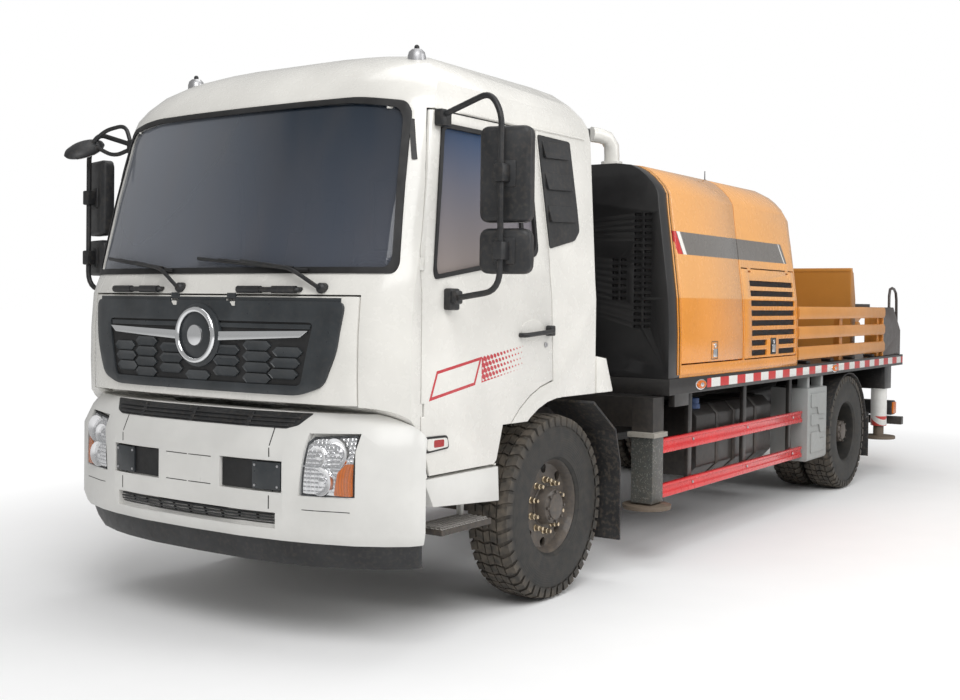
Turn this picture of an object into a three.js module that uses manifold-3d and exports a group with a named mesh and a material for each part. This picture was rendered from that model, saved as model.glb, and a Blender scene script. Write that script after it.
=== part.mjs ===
// Truck-mounted concrete line pump: a two-axle cab-over truck with a concrete pump set, its engine
// under a hood and a receiving hopper at the rear, standing on its wheels with its four jacks raised.
// Millimetres. X points forward, Y to the truck's left, Z up. Every size below is measured from the
// front axle (X), the centre plane (Y) and the ground (Z); the last lines move the group so that the
// origin is on the ground under the middle of the overall length.
import * as THREE from "three";
import { mergeVertices } from "three/addons/utils/BufferGeometryUtils.js";
import Module from "manifold-3d";

const wasm = await Module();
wasm.setup();

// ---------------------------------------------------------------- driving dimensions
const wheelbase = 5000;
const frontOverhang = 1660; // front axle to the bumper's foremost line
const rearOverhang = 2200; // rear axle to the delivery flange
const seat = 0.3; // gap between pieces that rest on each other
const seam = 8; // gap around doors, lids and flaps
const pinRadius = 6; // hinge pins of doors, lids and flaps
const pinTab = 4; // half the thickness of the tab that holds a pin
const pinNotch = 17; // half the notch that clears a pin and its tab

// Tyres and wheels.
const tyreRadius = 510;
const tyreHalf = 127; // half the tyre's width
const rimRadius = 262;
const frontTyreY = 982; // centre of a front tyre
const twinY = 875; // centre of a rear pair
const twinHalfGap = 20; // half the space between the two tyres of a pair
const wheelSides = 22;
const kingpinY = 915;
const spindleRadius = 45;
const spindleEnd = 55; // past the tyre's centre plane
const rearTubeEnd = 82; // past the rear pair's centre plane
const eyeBottom = 470; // kingpin eye of the front axle beam
const eyeTop = 555;
const rearTubeRadius = 60;

// Ladder frame.
const railOuter = 425; // outer face of each chassis rail
const railWidth = 75;
const railBottom = 700;
const railTop = 950;
const railWeb = 10;
const subframeFront = -1300;

// Deck.
const deckTop = 1160;
const deckThickness = 105;
const deckPlate = 20;
const deckHalf = 1200;
const deckFront = -1220;
const deckRear = -wheelbase - 1590;

// Cab.
const cabHalf = 1130;
const cabRear = -420;
const cabFloor = 1010; // underside of the floor
const cabWall = 55;
const tiltX = 1500; // axis on which the cab tips forward
const tiltZ = 900;
const tiltPinRadius = 26;
const cabSweep = 248; // lowest reach of the cab's nose around the tilt axis
const archRadius = 607; // cab's wheel arch around the front axle
const archInner = 560;
const sillBottom = 810;
const doorLine = 1262; // front edge of the doors, where their hinges are
const flapTop = 1662;
const flapHalf = 930;
const flapAxisX = 1566; // hinge line of the flap, along Y
const flapAxisZ = 1644;

// Hood over the pump's engine.
const hoodFront = -1380;
const hoodSplit = -2435; // joint between the front and the rear side panels
const hoodRear = -3560;
const hoodWall = 50;
const hoodHinge = 800; // Y of the gull-wing hinges on the roof
const hoodTop = 2556;

// Jacks.
const jackFrontX = -1130;
const jackRearX = -wheelbase - 1150;
const jackY = 1095;
const jackFootBottom = 345;
const jackClearance = 5;

// Pump and hopper.
const hopperFront = -wheelbase - 1130;
const hopperRim = 1630;
const hopperRimHalf = 720;
const hopperBottom = 1180;
const hopperWall = 25;
const cylinderY = 170; // centre of each concrete cylinder
const cylinderZ = 1410;
const cylinderRadius = 100;

// ---------------------------------------------------------------- shape helpers
const V = (x, y, z) => new THREE.Vector3(x, y, z);

// A closed geometry as a solid for cutting and joining.
function solid(geometry) {
  const bare = geometry.clone();
  for (const name of ["normal", "uv"]) bare.deleteAttribute(name);
  const merged = mergeVertices(bare, 1e-3);
  const mesh = { numProp: 3, vertProperties: merged.attributes.position.array };
  return new wasm.Manifold(new wasm.Mesh({ ...mesh, triVerts: new Uint32Array(merged.index.array) }));
}

// A solid back to a geometry that a mesh can hold.
function geometryOf(body) {
  const mesh = body.getMesh();
  const geometry = new THREE.BufferGeometry();
  geometry.setAttribute("position", new THREE.BufferAttribute(mesh.vertProperties, 3));
  geometry.setIndex(new THREE.BufferAttribute(mesh.triVerts, 1));
  geometry.computeVertexNormals();
  return geometry;
}

const join = (first, ...rest) => rest.reduce((sum, piece) => sum.add(piece), first);
const cut = (first, ...rest) => rest.reduce((left, piece) => left.subtract(piece), first);

// A block between two corners.
function box(x0, x1, y0, y1, z0, z1) {
  const geometry = new THREE.BoxGeometry(Math.abs(x1 - x0), Math.abs(y1 - y0), Math.abs(z1 - z0));
  return solid(geometry.translate((x0 + x1) / 2, (y0 + y1) / 2, (z0 + z1) / 2));
}

// Columns that carry an outline's two coordinates and its depth to the model's axes.
const PLANES = {
  x: [V(0, 1, 0), V(0, 0, 1), V(1, 0, 0)], // outline in Y and Z, depth along X
  y: [V(1, 0, 0), V(0, 0, 1), V(0, -1, 0)], // outline in X and Z, depth along -Y
  z: [V(1, 0, 0), V(0, 1, 0), V(0, 0, 1)], // outline in X and Y, depth along Z
};

// An outline drawn out along one axis, from one place to another.
function prism(axis, points, from, to) {
  const outline = new THREE.Shape(points.map(([a, b]) => new THREE.Vector2(a, b)));
  const low = Math.min(from, to);
  const high = Math.max(from, to);
  const geometry = new THREE.ExtrudeGeometry(outline, { depth: high - low, bevelEnabled: false });
  geometry.applyMatrix4(new THREE.Matrix4().makeBasis(...PLANES[axis]));
  const start = axis === "y" ? high : low;
  const shift = { x: V(start, 0, 0), y: V(0, start, 0), z: V(0, 0, start) }[axis];
  return solid(geometry.translate(shift.x, shift.y, shift.z));
}

// A round bar along one axis.
function rod(axis, radius, from, to, u, v, sides = 20) {
  const points = [];
  for (let i = 0; i < sides; i += 1) {
    const turn = (2 * Math.PI * (i + 0.5)) / sides;
    points.push([u + radius * Math.cos(turn), v + radius * Math.sin(turn)]);
  }
  return prism(axis, points, from, to);
}

// A skin through closed rings of equal length, capped at both ends.
function loft(rings) {
  const count = rings[0].length;
  const points = rings.flat();
  const index = [];
  for (let r = 0; r + 1 < rings.length; r += 1) {
    for (let i = 0; i < count; i += 1) {
      const a = r * count + i;
      const b = r * count + ((i + 1) % count);
      index.push(a, b, b + count, a, b + count, a + count);
    }
  }
  const across = rings[1][0].clone().sub(rings[0][0]);
  const flatAxis = ["x", "y", "z"].reduce((m, k) => (Math.abs(across[k]) > Math.abs(across[m]) ? k : m));
  const keys = { x: ["y", "z"], y: ["z", "x"], z: ["x", "y"] }[flatAxis];
  const cap = (ring) => {
    const flat = ring.map((p) => new THREE.Vector2(p[keys[0]], p[keys[1]]));
    return THREE.ShapeUtils.triangulateShape(flat, []);
  };
  const last = (rings.length - 1) * count;
  for (const [a, b, c] of cap(rings[0])) index.push(a, c, b);
  for (const [a, b, c] of cap(rings[rings.length - 1])) index.push(last + a, last + b, last + c);
  const geometry = new THREE.BufferGeometry().setFromPoints(points);
  geometry.setIndex(index);
  return solid(geometry);
}

// A round bar bent along points, with its corners rounded off.
function tube(points, radius, bend = 60, sides = 8) {
  const path = new THREE.CurvePath();
  let start = points[0];
  for (let i = 1; i + 1 < points.length; i += 1) {
    const back = points[i - 1].clone().sub(points[i]).setLength(bend).add(points[i]);
    const ahead = points[i + 1].clone().sub(points[i]).setLength(bend).add(points[i]);
    path.add(new THREE.LineCurve3(start, back));
    path.add(new THREE.QuadraticBezierCurve3(back, points[i], ahead));
    start = ahead;
  }
  path.add(new THREE.LineCurve3(start, points[points.length - 1]));
  const section = new THREE.Shape().absarc(0, 0, radius, 0, 2 * Math.PI);
  const round = new THREE.Shape(section.getSpacedPoints(sides).slice(0, sides));
  const steps = Math.max(2, Math.round(path.getLength() / (bend * 0.7)));
  return solid(new THREE.ExtrudeGeometry(round, { steps, extrudePath: path, curveSegments: sides }));
}

// A profile of radius and height turned about the Y axis at a place; height runs along +Y times side.
function turned(profile, side, x, y, z, sides = wheelSides) {
  const flat = 1 / Math.cos(Math.PI / sides); // the flats, not the corners, reach the stated radius
  const points = profile.map(([r, h]) => new THREE.Vector2(r * flat, h));
  const geometry = new THREE.LatheGeometry(points, sides);
  geometry.rotateY(Math.PI / sides);
  geometry.rotateX(side > 0 ? 0 : Math.PI);
  return solid(geometry.translate(x, y, z));
}

// The same solid on the truck's other side.
function mirrored(body) {
  const geometry = geometryOf(body);
  geometry.scale(1, -1, 1);
  const order = geometry.index.array;
  for (let i = 0; i < order.length; i += 3) [order[i + 1], order[i + 2]] = [order[i + 2], order[i + 1]];
  return solid(geometry);
}

const bothSides = (body) => join(body, mirrored(body));

// A hinge pin with the tab that holds it to the fixed side, and the notch that clears both in the leaf.
// u and v are the pin's place in the plane across its axis; the tab runs from it by du or dv.
function hinge(axis, from, to, u, v, du, dv) {
  const block = (u0, u1, v0, v1, low, high) =>
    prism(axis, [[u0, v0], [u1, v0], [u1, v1], [u0, v1]], low, high);
  const span = (a, d) => [Math.min(a, a + d) - (d ? 0 : pinTab), Math.max(a, a + d) + (d ? 0 : pinTab)];
  const lug = join(rod(axis, pinRadius, from, to, u, v, 12), block(...span(u, du), ...span(v, dv), from, to));
  const notch = block(u - pinNotch, u + pinNotch, v - pinNotch, v + pinNotch, from - seat, to + seat);
  return { lug, notch };
}

// ---------------------------------------------------------------- materials and scene graph
const finish = (color, roughness, metalness) =>
  new THREE.MeshStandardMaterial({ color, roughness, metalness });
const MATERIALS = {
  cabPaint: finish(0xe9e8e3, 0.35, 0),
  yellowPaint: finish(0xe39a35, 0.4, 0),
  blackPaint: finish(0x1c1c1e, 0.5, 0.1),
  blackPlastic: finish(0x202124, 0.7, 0),
  darkSteel: finish(0x2b2d30, 0.5, 0.6),
  redPaint: finish(0xc9232c, 0.4, 0),
  greyPaint: finish(0x8b9197, 0.5, 0.2),
  rubber: finish(0x3b3835, 0.9, 0),
  glass: finish(0x2c3238, 0.05, 0),
  trim: finish(0x33343a, 0.85, 0),
  steel: finish(0x9a9c9e, 0.4, 0.9),
};

const truck = new THREE.Group();
const chassis = new THREE.Group();
const cab = new THREE.Group();
const pump = new THREE.Group();
truck.add(chassis, cab, pump);

// Puts one named piece in a group.
function place(group, name, material, body) {
  const mesh = new THREE.Mesh(geometryOf(body), MATERIALS[material]);
  mesh.name = name;
  group.add(mesh);
}

// Puts a piece and its mirror image on the two sides.
function placePair(group, name, material, leftBody) {
  place(group, `${name}_left`, material, leftBody);
  place(group, `${name}_right`, material, mirrored(leftBody));
}

const rearAxleX = -wheelbase;
const rearEnd = rearAxleX - rearOverhang;

// ---------------------------------------------------------------- bumper outline
// Half plan of the bumper from its middle to its side: distance behind the foremost line, and Y.
const BUMPER_PLAN = [
  [0, 0], [8, 350], [40, 600], [75, 760], [140, 950], [215, 1080], [284, 1164], [330, 1190], [355, 1195],
];
const bumperTop = 1112;
const bumperBottom = 515;
const bumperWall = 40;
const bumperPocket = 26; // depth of the lamp, towing-eye and grille pockets

// One level of the bumper: plan narrowed by inset, its foremost line moved back by set-back.
function bumperRing(z, setBack, narrow, inset, back = 0) {
  const half = BUMPER_PLAN.map(([behind, y]) => {
    const x = frontOverhang - setBack - behind - inset;
    return V(x, y * narrow * ((1195 - inset) / 1195), z);
  });
  half.push(V(half[half.length - 1].x - back, half[half.length - 1].y, z));
  const other = half.slice(1).reverse().map((p) => V(p.x, -p.y, p.z));
  return [...half, ...other].reverse().map((p) => p);
}

function bumperSkin(inset, bottom, top, back) {
  return loft([
    bumperRing(bottom, 12, 0.985, inset, back),
    bumperRing(570, 0, 1, inset, back),
    bumperRing(950, 0, 1, inset, back),
    bumperRing(1040, 40, 0.985, inset, back),
    bumperRing(top, 85, 0.955, inset, back),
  ].map((ring) => ring.reverse()));
}

// ---------------------------------------------------------------- cab outline
// Levels of the cab: height, half width, foremost line, rear face, and how strongly its front curves.
const CAB_LEVELS = [
  [1000, 1130, 1582, -420, 1],
  [1300, 1130, 1592, -420, 1],
  [1480, 1130, 1590, -420, 1],
  [1662, 1130, 1575, -420, 1],
  [1765, 1122, 1528, -420, 0.95],
  [2180, 1104, 1418, -420, 0.85],
  [2560, 1080, 1305, -418, 0.75],
  [2640, 1069, 1272, -410, 0.75],
  [2700, 1040, 1230, -385, 0.75],
  [2773, 973, 1165, -350, 0.75],
  [2838, 887, 1065, -300, 0.75],
  [2885, 772, 950, -255, 0.75],
  [2925, 620, 800, -180, 0.75],
  [2950, 420, 550, -60, 0.75],
];
// Half plan of the front: share of the half width, and distance behind the foremost line.
const CAB_FRONT = [[0, 0], [0.35, 10], [0.62, 40], [0.78, 76], [0.9, 140], [0.96, 190], [1, 245]];

// One ring of the cab's skin, moved in by the wall; nose is the extra depth taken from its front.
function cabRing([z, half, front, rear, curve], wall, nose) {
  const w = half - wall;
  const side = CAB_FRONT.map(([share, behind]) => V(front - nose - behind * curve, share * w, z));
  const corner = 40;
  side.push(V(rear + wall + corner, w, z), V(rear + wall, w - corner, z));
  const other = side.slice(1).reverse().map((p) => V(p.x, -p.y, p.z));
  return [...side, ...other];
}

// The cab's skin between two heights; walls thinner or thicker as inset and nose say.
function cabSkin(bottom, inset, nose, drop = 0) {
  const levels = CAB_LEVELS.map(([z, ...rest]) => [z > 2600 ? z - drop : z, ...rest]);
  const first = [bottom, ...levels[0].slice(1)];
  return loft([first, ...levels.filter(([z]) => z > bottom + 1)].map((level) => cabRing(level, inset, nose)));
}

// ---------------------------------------------------------------- door outline in X and Z
const archArc = (radius, from, to, steps) => {
  const points = [];
  for (let i = 0; i <= steps; i += 1) {
    const turn = THREE.MathUtils.degToRad(from + ((to - from) * i) / steps);
    points.push([radius * Math.cos(turn), tyreRadius + radius * Math.sin(turn)]);
  }
  return points;
};

// Outline of the left door grown by a gap on every side.
function doorOutline(gap) {
  return [
    [1195 + 2 * gap, sillBottom + 8 - gap],
    [doorLine + gap, 1042 - 5 * gap],
    [doorLine + gap, 1863],
    [1140 + gap, 2545 + gap],
    [228 - gap, 2552 + gap],
    [128 - gap, 1907],
    [92 - gap, 1216 - gap],
    ...archArc(712 - gap, 81, 27, 6),
    [655 - gap, sillBottom + 8 - gap],
  ];
}

const DOOR_WINDOW = [[1150, 1752], [1160, 1790], [1062, 2462], [1040, 2480], [330, 2486], [312, 2470],
  [252, 1930],
  [275, 1896], [420, 1860]];

// ---------------------------------------------------------------- chassis
function frame() {
  const channel = [
    [railOuter, railBottom], [railOuter, railTop], [railOuter - railWidth, railTop],
    [railOuter - railWidth, railTop - railWeb], [railOuter - railWeb, railTop - railWeb],
    [railOuter - railWeb, railBottom + railWeb], [railOuter - railWidth, railBottom + railWeb],
    [railOuter - railWidth, railBottom],
  ];
  const railFront = 1380;
  const railRear = rearEnd + 500;
  const rail = prism("x", channel.reverse(), railRear, railFront);
  const subrail = box(railRear + 100, subframeFront, railOuter - 80, railOuter, railTop,
    deckTop - deckPlate - seat);
  const horn = box(railFront - 100, frontOverhang - 100, railOuter - railWidth, railOuter, 700, 800);
  const lug = prism("y", [[railFront - 200, 800], [railFront - 60, 945], [tiltX + 40, 945],
    [tiltX + 40, 800]],
    railOuter - 40, railOuter);
  const pinHole = rod("y", tiltPinRadius + 1.2, railOuter - 50, railOuter + 10, tiltX, tiltZ, 24);
  const cabRest = box(cabRear + 40, cabRear + 120, railOuter - railWidth, railOuter, railTop,
    cabFloor - seat);
  let side = join(rail, subrail, horn, lug, cabRest);
  // Hangers that hold the leaf springs.
  for (const axle of [0, rearAxleX]) {
    for (const end of [-650, 650]) {
      const foot = box(axle + end - 50, axle + end + 50, railOuter - 5, railOuter + 85, 640, 860);
      side = join(side, foot);
    }
  }
  side = cut(side, pinHole);
  let body = bothSides(side);
  for (const x of [1200, -960, -2600, -4150, rearAxleX + 80, rearAxleX - 1000, railRear + 60]) {
    const low = x === 1200 ? 705 : 730;
    const high = x === 1200 ? 800 : 930;
    body = join(body, box(x - 45, x + 45, -(railOuter - 5), railOuter - 5, low, high));
  }
  // Rear under-run bar on its two drop arms.
  const barX = rearEnd + 560;
  const bar = box(barX - 40, barX + 40, -1190, 1190, 447, 525);
  const drop = box(barX - 35, barX + 35, railOuter - 70, railOuter - 12, 520, railBottom + 40);
  return join(body, bar, bothSides(drop));
}

// Leaf spring pack under a rail: its eyes seat below the frame's hangers.
function leafSpring(axleX) {
  const outline = [];
  const half = 690;
  for (let i = 0; i <= 8; i += 1) {
    const x = -half + (2 * half * i) / 8;
    outline.push([axleX + x, 600 - 30 * (1 - (x / half) ** 2) + 39.7]);
  }
  outline.push([axleX + half, 622], [axleX + 350, 590], [axleX + 120, 555], [axleX - 120, 555],
    [axleX - 350, 590], [axleX - half, 622]);
  return prism("y", outline.reverse(), railOuter + 5, railOuter + 75);
}

function frontAxle() {
  const beam = prism("x", [
    [-(kingpinY - 20), 480], [-(kingpinY - 120), 470], [-(railOuter + 100), 430], [railOuter + 100, 430],
    [kingpinY - 120, 470], [kingpinY - 20, 480], [kingpinY - 20, 550], [kingpinY - 120, 550],
    [railOuter + 100, 530], [-(railOuter + 100), 530], [-(kingpinY - 120), 550], [-(kingpinY - 20), 550],
  ], -45, 45);
  const eye = rod("z", 46, eyeBottom, eyeTop, 0, kingpinY, 16);
  const saddle = box(-110, 110, railOuter + 2, railOuter + 78, 520, 575);
  return join(beam, bothSides(join(eye, saddle, leafSpring(0))));
}

// Knuckle: a fork around the beam's eye, with the spindle that carries the wheel.
function knuckle() {
  const cheekTop = rod("z", 50, eyeTop + seat, 600, 0, kingpinY, 16);
  const cheekBottom = rod("z", 50, 430, eyeBottom - seat, 0, kingpinY, 16);
  const plateTop = box(-50, 50, kingpinY, kingpinY + 88, eyeTop + seat, 600);
  const plateBottom = box(-50, 50, kingpinY, kingpinY + 88, 430, eyeBottom - seat);
  const web = box(-50, 50, kingpinY + 56, kingpinY + 88, 430, 600);
  const spindle = rod("y", spindleRadius, kingpinY + 60, frontTyreY + spindleEnd, 0, tyreRadius, 20);
  return join(cheekTop, cheekBottom, plateTop, plateBottom, web, spindle);
}

function frontWheel() {
  const h = tyreHalf;
  return turned([
    [0, 118], [74, 112], [74, 72], [142, 72], [205, 30], [230, 30], [rimRadius, 116], [335, h], [430, h],
    [tyreRadius, 82], [tyreRadius, -82], [430, -h], [335, -h], [rimRadius, -116], [230, -106], [230, 8],
    [205, 8], [150, 45], [115, 22], [spindleRadius + 6, 22], [spindleRadius + 6, spindleEnd + seat],
    [0, spindleEnd + seat],
  ].reverse(), 1, 0, frontTyreY, tyreRadius);
}

function rearAxle() {
  const end = twinY + rearTubeEnd;
  const tubeBody = rod("y", rearTubeRadius, -end, end, rearAxleX, tyreRadius, 20);
  const drop = turned([[0, 130], [110, 110], [165, 60], [175, 0], [165, -60], [110, -110],
    [0, -130]].reverse(),
    1, rearAxleX, 0, tyreRadius, 16);
  const saddle = box(rearAxleX - 100, rearAxleX + 100, railOuter + 2, railOuter + 78, tyreRadius - 10, 575);
  return join(tubeBody, drop, bothSides(join(saddle, leafSpring(rearAxleX))));
}

function rearWheel() {
  const outer = 2 * tyreHalf + twinHalfGap;
  const g = twinHalfGap;
  const tyreOuter = [[rimRadius, outer - 11], [335, outer], [430, outer], [tyreRadius, outer - 45],
    [tyreRadius, g + 45], [430, g], [300, g]];
  const tyreInner = tyreOuter.map(([r, v]) => [r, -v]).reverse();
  return turned([
    [0, 190], [85, 185], [98, 40], [150, 40], [165, 26], [232, 26],
    [232, outer - 21], ...tyreOuter, ...tyreInner,
    [232, 21 - outer], [232, 4], [165, 4], [115, -20], [115, -150], [rearTubeRadius + 6, -150],
    [rearTubeRadius + 6, rearTubeEnd + seat], [0, rearTubeEnd + seat],
  ].reverse(), 1, rearAxleX, twinY, tyreRadius);
}

function powertrain() {
  const engine = box(-150, 830, -300, 300, 560, 1200);
  const gearbox = box(-900, -150, -170, 170, 560, 900);
  const shaft = rod("x", 55, rearAxleX + 190, -900, 0, 600, 12);
  const mountHalf = railOuter - railWeb - seat;
  const mount = box(250, 420, -mountHalf, mountHalf, railBottom + railWeb + seat, 760);
  return join(engine, gearbox, shaft, mount);
}

function bumper() {
  const outer = bumperSkin(0, bumperBottom, bumperTop, 0);
  const inner = bumperSkin(bumperWall, bumperBottom - 40, bumperTop - 35, 400);
  const x1 = frontOverhang + 50;
  const lamp = prism("x", [[678, 732], [951, 738], [953, 1027], [712, 1020]], 1300, x1);
  const tow = box(1400, x1, 216, 592, 738, 886);
  const slot = box(1400, x1, -557, 557, 570, 644);
  const pockets = cut(join(slot, bothSides(join(lamp, tow))), bumperSkin(bumperPocket, bumperBottom - 40,
    bumperTop - 35, 400));
  const pads = box(frontOverhang - 99.7, frontOverhang - 45, railOuter - railWidth, railOuter, 700, 800);
  // What stands behind the tilt axis keeps inside the arc that the cab's nose sweeps.
  const sweep = rod("y", cabSweep - seam, -1300, 1300, tiltX, tiltZ, 48);
  const guard = join(cut(box(1000, tiltX, -1300, 1300, tiltZ, 1300), sweep),
    box(1000, tiltX - 5, -420, 420, tiltZ, 1300));
  const shell = cut(outer, inner, guard, pockets);
  return join(shell, bothSides(pads).intersect(bumperSkin(5, bumperBottom, bumperTop, 400)));
}

function airDam() {
  const rings = (inset, bottom, back) => [
    bumperRing(bottom, 75, 0.94, inset, back),
    bumperRing(430, 55, 0.95, inset, back),
    bumperRing(bumperBottom - seat, 30, 0.965, inset, back),
  ].map((ring) => ring.reverse());
  const outer = loft(rings(0, 392, 0));
  const inner = loft(rings(25, 392, 400).map((ring, i) => ring.map((p) => V(p.x, p.y, [380, 430, 500][i]))));
  const topEdge = loft(rings(25, 392, 400).slice(1).map((ring, i) =>
    ring.map((p) => V(p.x, p.y, [430, bumperBottom - seat + 1][i]))));
  return cut(outer, inner, topEdge);
}

// Step panel under the door, with its lower tread plate and the arm that carries both.
function step() {
  const top = sillBottom - seam;
  const panel = prism("y", [[612, top], [600, 624], [1157, 665], [1236, top]].reverse(), 930, 1128);
  const plate = box(680, 1090, 940, 1128, 520, 545);
  const hangers = join(box(700, 730, 950, 980, 540, 700), box(1040, 1070, 950, 980, 540, 700));
  const arm = box(860, 940, railOuter + seat, 940, 705, 765);
  return join(panel, plate, hangers, arm);
}

// Mudguard behind the front wheel, on an arm from the frame.
function frontMudguard() {
  const outline = [
    [-240, 1070], [-505, 893], [-565, 700], [-572, 243], [-586, 243], [-579, 704], [-517, 902], [-247, 1084],
  ];
  const blade = prism("y", outline, 860, 1200);
  const arm = box(-600, -509, railOuter + seat, 880, 868, 915);
  return join(blade, arm);
}

function deck() {
  const slab = box(deckRear, deckFront, -deckHalf, deckHalf, deckTop - deckThickness, deckTop);
  const hollow = box(deckRear + 60, deckFront - 60, -(deckHalf - 45), deckHalf - 45,
    deckTop - deckThickness - 50, deckTop - deckPlate);
  const railSlots = bothSides(box(deckRear - 50, deckRear + 80, railOuter - 81, railOuter + 1, 1000,
    deckTop - deckPlate));
  const skirt = box(deckFront - 290, deckFront - 80, deckHalf - 45, deckHalf, 979,
    deckTop - deckThickness + 10);
  const beams = [-2300, -3700, -4700].map((x) => box(x - 40, x + 40, -(deckHalf - 60), deckHalf - 60,
    deckTop - deckThickness, deckTop - 10));
  const notch = bothSides(box(deckRear, deckFront, railOuter - 81, railOuter + 1, 1000, deckTop - deckPlate));
  const ribs = cut(join(...beams), notch);
  return join(cut(slab, hollow, railSlots), bothSides(skirt), ribs);
}

// ---------------------------------------------------------------- hood
// Half section of the hood in Y and Z, from the deck to the middle of the roof.
const HOOD_SECTION = [
  [1198, 1180], [1198, 1444], [1188, 1674], [1159, 1904], [1131, 2121], [1116, 2228], [1102, 2355],
    [1075, 2405],
  [1023, 2463], [971, 2506], [906, 2541], [hoodHinge, hoodTop],
];

// The section moved in by a wall, on both sides of the centre plane.
function hoodSection(wall, bottom) {
  const half = HOOD_SECTION.map(([y, z]) => {
    const lean = THREE.MathUtils.smoothstep(z, 2200, hoodTop);
    return [y - wall * (1 - 0.55 * lean), z - wall * lean];
  });
  half[0][1] = bottom;
  half[half.length - 1][0] = hoodHinge - wall * 0.4;
  const other = half.map(([y, z]) => [-y, z]).reverse();
  return [...half, ...other];
}

const hoodPrism = (wall, bottom, x0, x1) => prism("x", hoodSection(wall, bottom), x0, x1);

// The yellow skin: straight, with its rear edge falling away slightly.
function hoodSkin() {
  const ring = (x, drop, tuck) => hoodSection(0, deckTop + seat + 20).map(([y, z]) => {
    const lean = THREE.MathUtils.smoothstep(z, 1900, hoodTop);
    return V(x, y - Math.sign(y) * tuck, z - drop * lean);
  });
  return loft([ring(hoodRear, 62, 8), ring(hoodRear + 90, 14, 2), ring(hoodRear + 240, 0, 0),
    ring(hoodFront - seat, 0, 0)]);
}

const louvreTop = 1900;
const hoodDoorBottom = 1250;
const louvreFront = hoodSplit - 25;
const louvreRear = hoodRear + 30;

const gullBox = (g) => box(hoodSplit + 12 - g, hoodFront - 20 + g, hoodHinge - g, 1400,
  hoodDoorBottom - g, 2700);
const louvreBox = (g) => box(louvreRear - g, louvreFront + g, 1000, 1400, hoodDoorBottom - g, louvreTop + g);

// Roof hinge of a gull-wing panel and top hinge of a louvred panel, each at two places.
const twoPins = (axis, places, u, v, du, dv) => places.map((at) => hinge(axis, at, at + 60, u, v, du, dv));
const gullPins = twoPins("x", [hoodSplit + 120, hoodFront - 200], hoodHinge + 6, hoodTop - 7, -22, 0);
const louvrePins = twoPins("x", [louvreRear + 120, louvreFront - 180], 1153, louvreTop - 7, 0, 24);

function hoodShell() {
  const foot = bothSides(box(hoodRear + 8, hoodFront - seat, 1130, 1190, deckTop + seat, deckTop + 40));
  const inner = hoodPrism(hoodWall, deckTop - 20, hoodRear + 50, hoodFront + 20);
  const openings = bothSides(join(gullBox(seam), louvreBox(seam)));
  const lugs = [...gullPins, ...louvrePins].map((pin) => bothSides(pin.lug));
  return join(cut(hoodSkin(), inner, openings), foot, ...lugs);
}

function hoodPanel(outline, pins) {
  const leaf = cut(hoodSkin(), hoodPrism(hoodWall, deckTop - 20, hoodRear - 10,
    hoodFront + 20)).intersect(outline);
  return cut(leaf, ...pins.map((pin) => pin.notch));
}

// Black portal in front of the hood, open towards it.
function hoodFrame() {
  const outer = hoodPrism(6, deckTop + seat, hoodFront + seat, deckFront);
  const inner = hoodPrism(60, deckTop - 40, hoodFront - 40, deckFront - 40);
  return cut(outer, inner);
}

function pumpEngine() {
  const block = box(-3000, -1700, -430, 430, deckTop + 90, 2080);
  const feet = bothSides(join(box(-2950, -2850, 300, 420, deckTop + seat, deckTop + 95),
    box(-1850, -1750, 300, 420, deckTop + seat, deckTop + 95)));
  return join(block, feet);
}

// ---------------------------------------------------------------- along the sides
function sideGuard() {
  const rear = -3800;
  const front = -1215;
  const rails = [[685, 778], [400, 488]].map(([low, high]) => box(rear, front, 1125, 1155, low, high));
  const posts = [-1700, -2650, -3600].map((x) => box(x - 30, x + 30, 1095, 1126, 410,
    deckTop - deckPlate - seat));
  return join(...rails, ...posts);
}

function toolBox() {
  const body = prism("x", [[870, 400], [910, 360], [1175, 360], [1190, 380], [1190, 960],
    [870, 960]], -4300, -3830);
  const hangers = [-4230, -3900].map((x) => box(x - 25, x + 25, 1080, 1170, 950,
    deckTop - deckThickness - seat));
  return join(body, ...hangers);
}

// Tank or box with rounded edges beside a rail, on two brackets.
function sideTank(front, rear, inner, outer, bottom, top, round) {
  const corners = [[outer - round, bottom], [outer, bottom + round], [outer, top - round],
    [outer - round, top],
    [inner + round, top], [inner, top - round], [inner, bottom + round], [inner + round, bottom]];
  const body = prism("x", corners, rear, front);
  const arms = [front - 200, rear + 200].map((x) => box(x - 30, x + 30, railOuter + seat, inner + 30,
    740, 800));
  return join(body, ...arms);
}

const fuelTank = () => sideTank(-1950, -3350, 600, 1060, 440, 930, 70);
// Battery box with the round-edged urea tank behind it, on one carrier.
const batteryBox = () => mirrored(join(sideTank(-1800, -2500, 620, 1060, 480, 930, 12),
  sideTank(-2700, -3350, 620, 1040, 470, 920, 90), box(-2720, -2480, 640, 700, 740, 800)));

// ---------------------------------------------------------------- jacks
const footTop = jackFootBottom + 28;
const frontLegTop = 1015;
const rearLegTop = 960;

function outriggerFront() {
  const x0 = jackFrontX - 70;
  const x1 = jackFrontX + 70;
  const z0 = railTop + seat;
  const z1 = deckTop - deckThickness - 5;
  const beam = box(x0, x1, -600, 600, z0, z1);
  const arm = box(x0, x1, 560, jackY - 70, 860, z1);
  const column = box(x0 - 5, x1 + 5, jackY - 75, jackY + 75, footTop + 12, z1);
  const flange = box(x0 - 25, x1 + 25, jackY - 95, jackY + 95, 800, 830);
  const bore = box(jackFrontX - 50 - jackClearance, jackFrontX + 50 + jackClearance,
    jackY - 50 - jackClearance, jackY + 50 + jackClearance, 300, frontLegTop + seat);
  return join(beam, bothSides(cut(join(arm, column, flange), bore)));
}

function jackLeg(x, round) {
  const plate = rod("z", round ? 160 : 155, jackFootBottom, footTop, x, jackY, 20);
  const post = round
    ? rod("z", 50, footTop - 1, rearLegTop, x, jackY, 16)
    : box(x - 50, x + 50, jackY - 50, jackY + 50, footTop - 1, frontLegTop);
  return join(plate, post);
}

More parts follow.
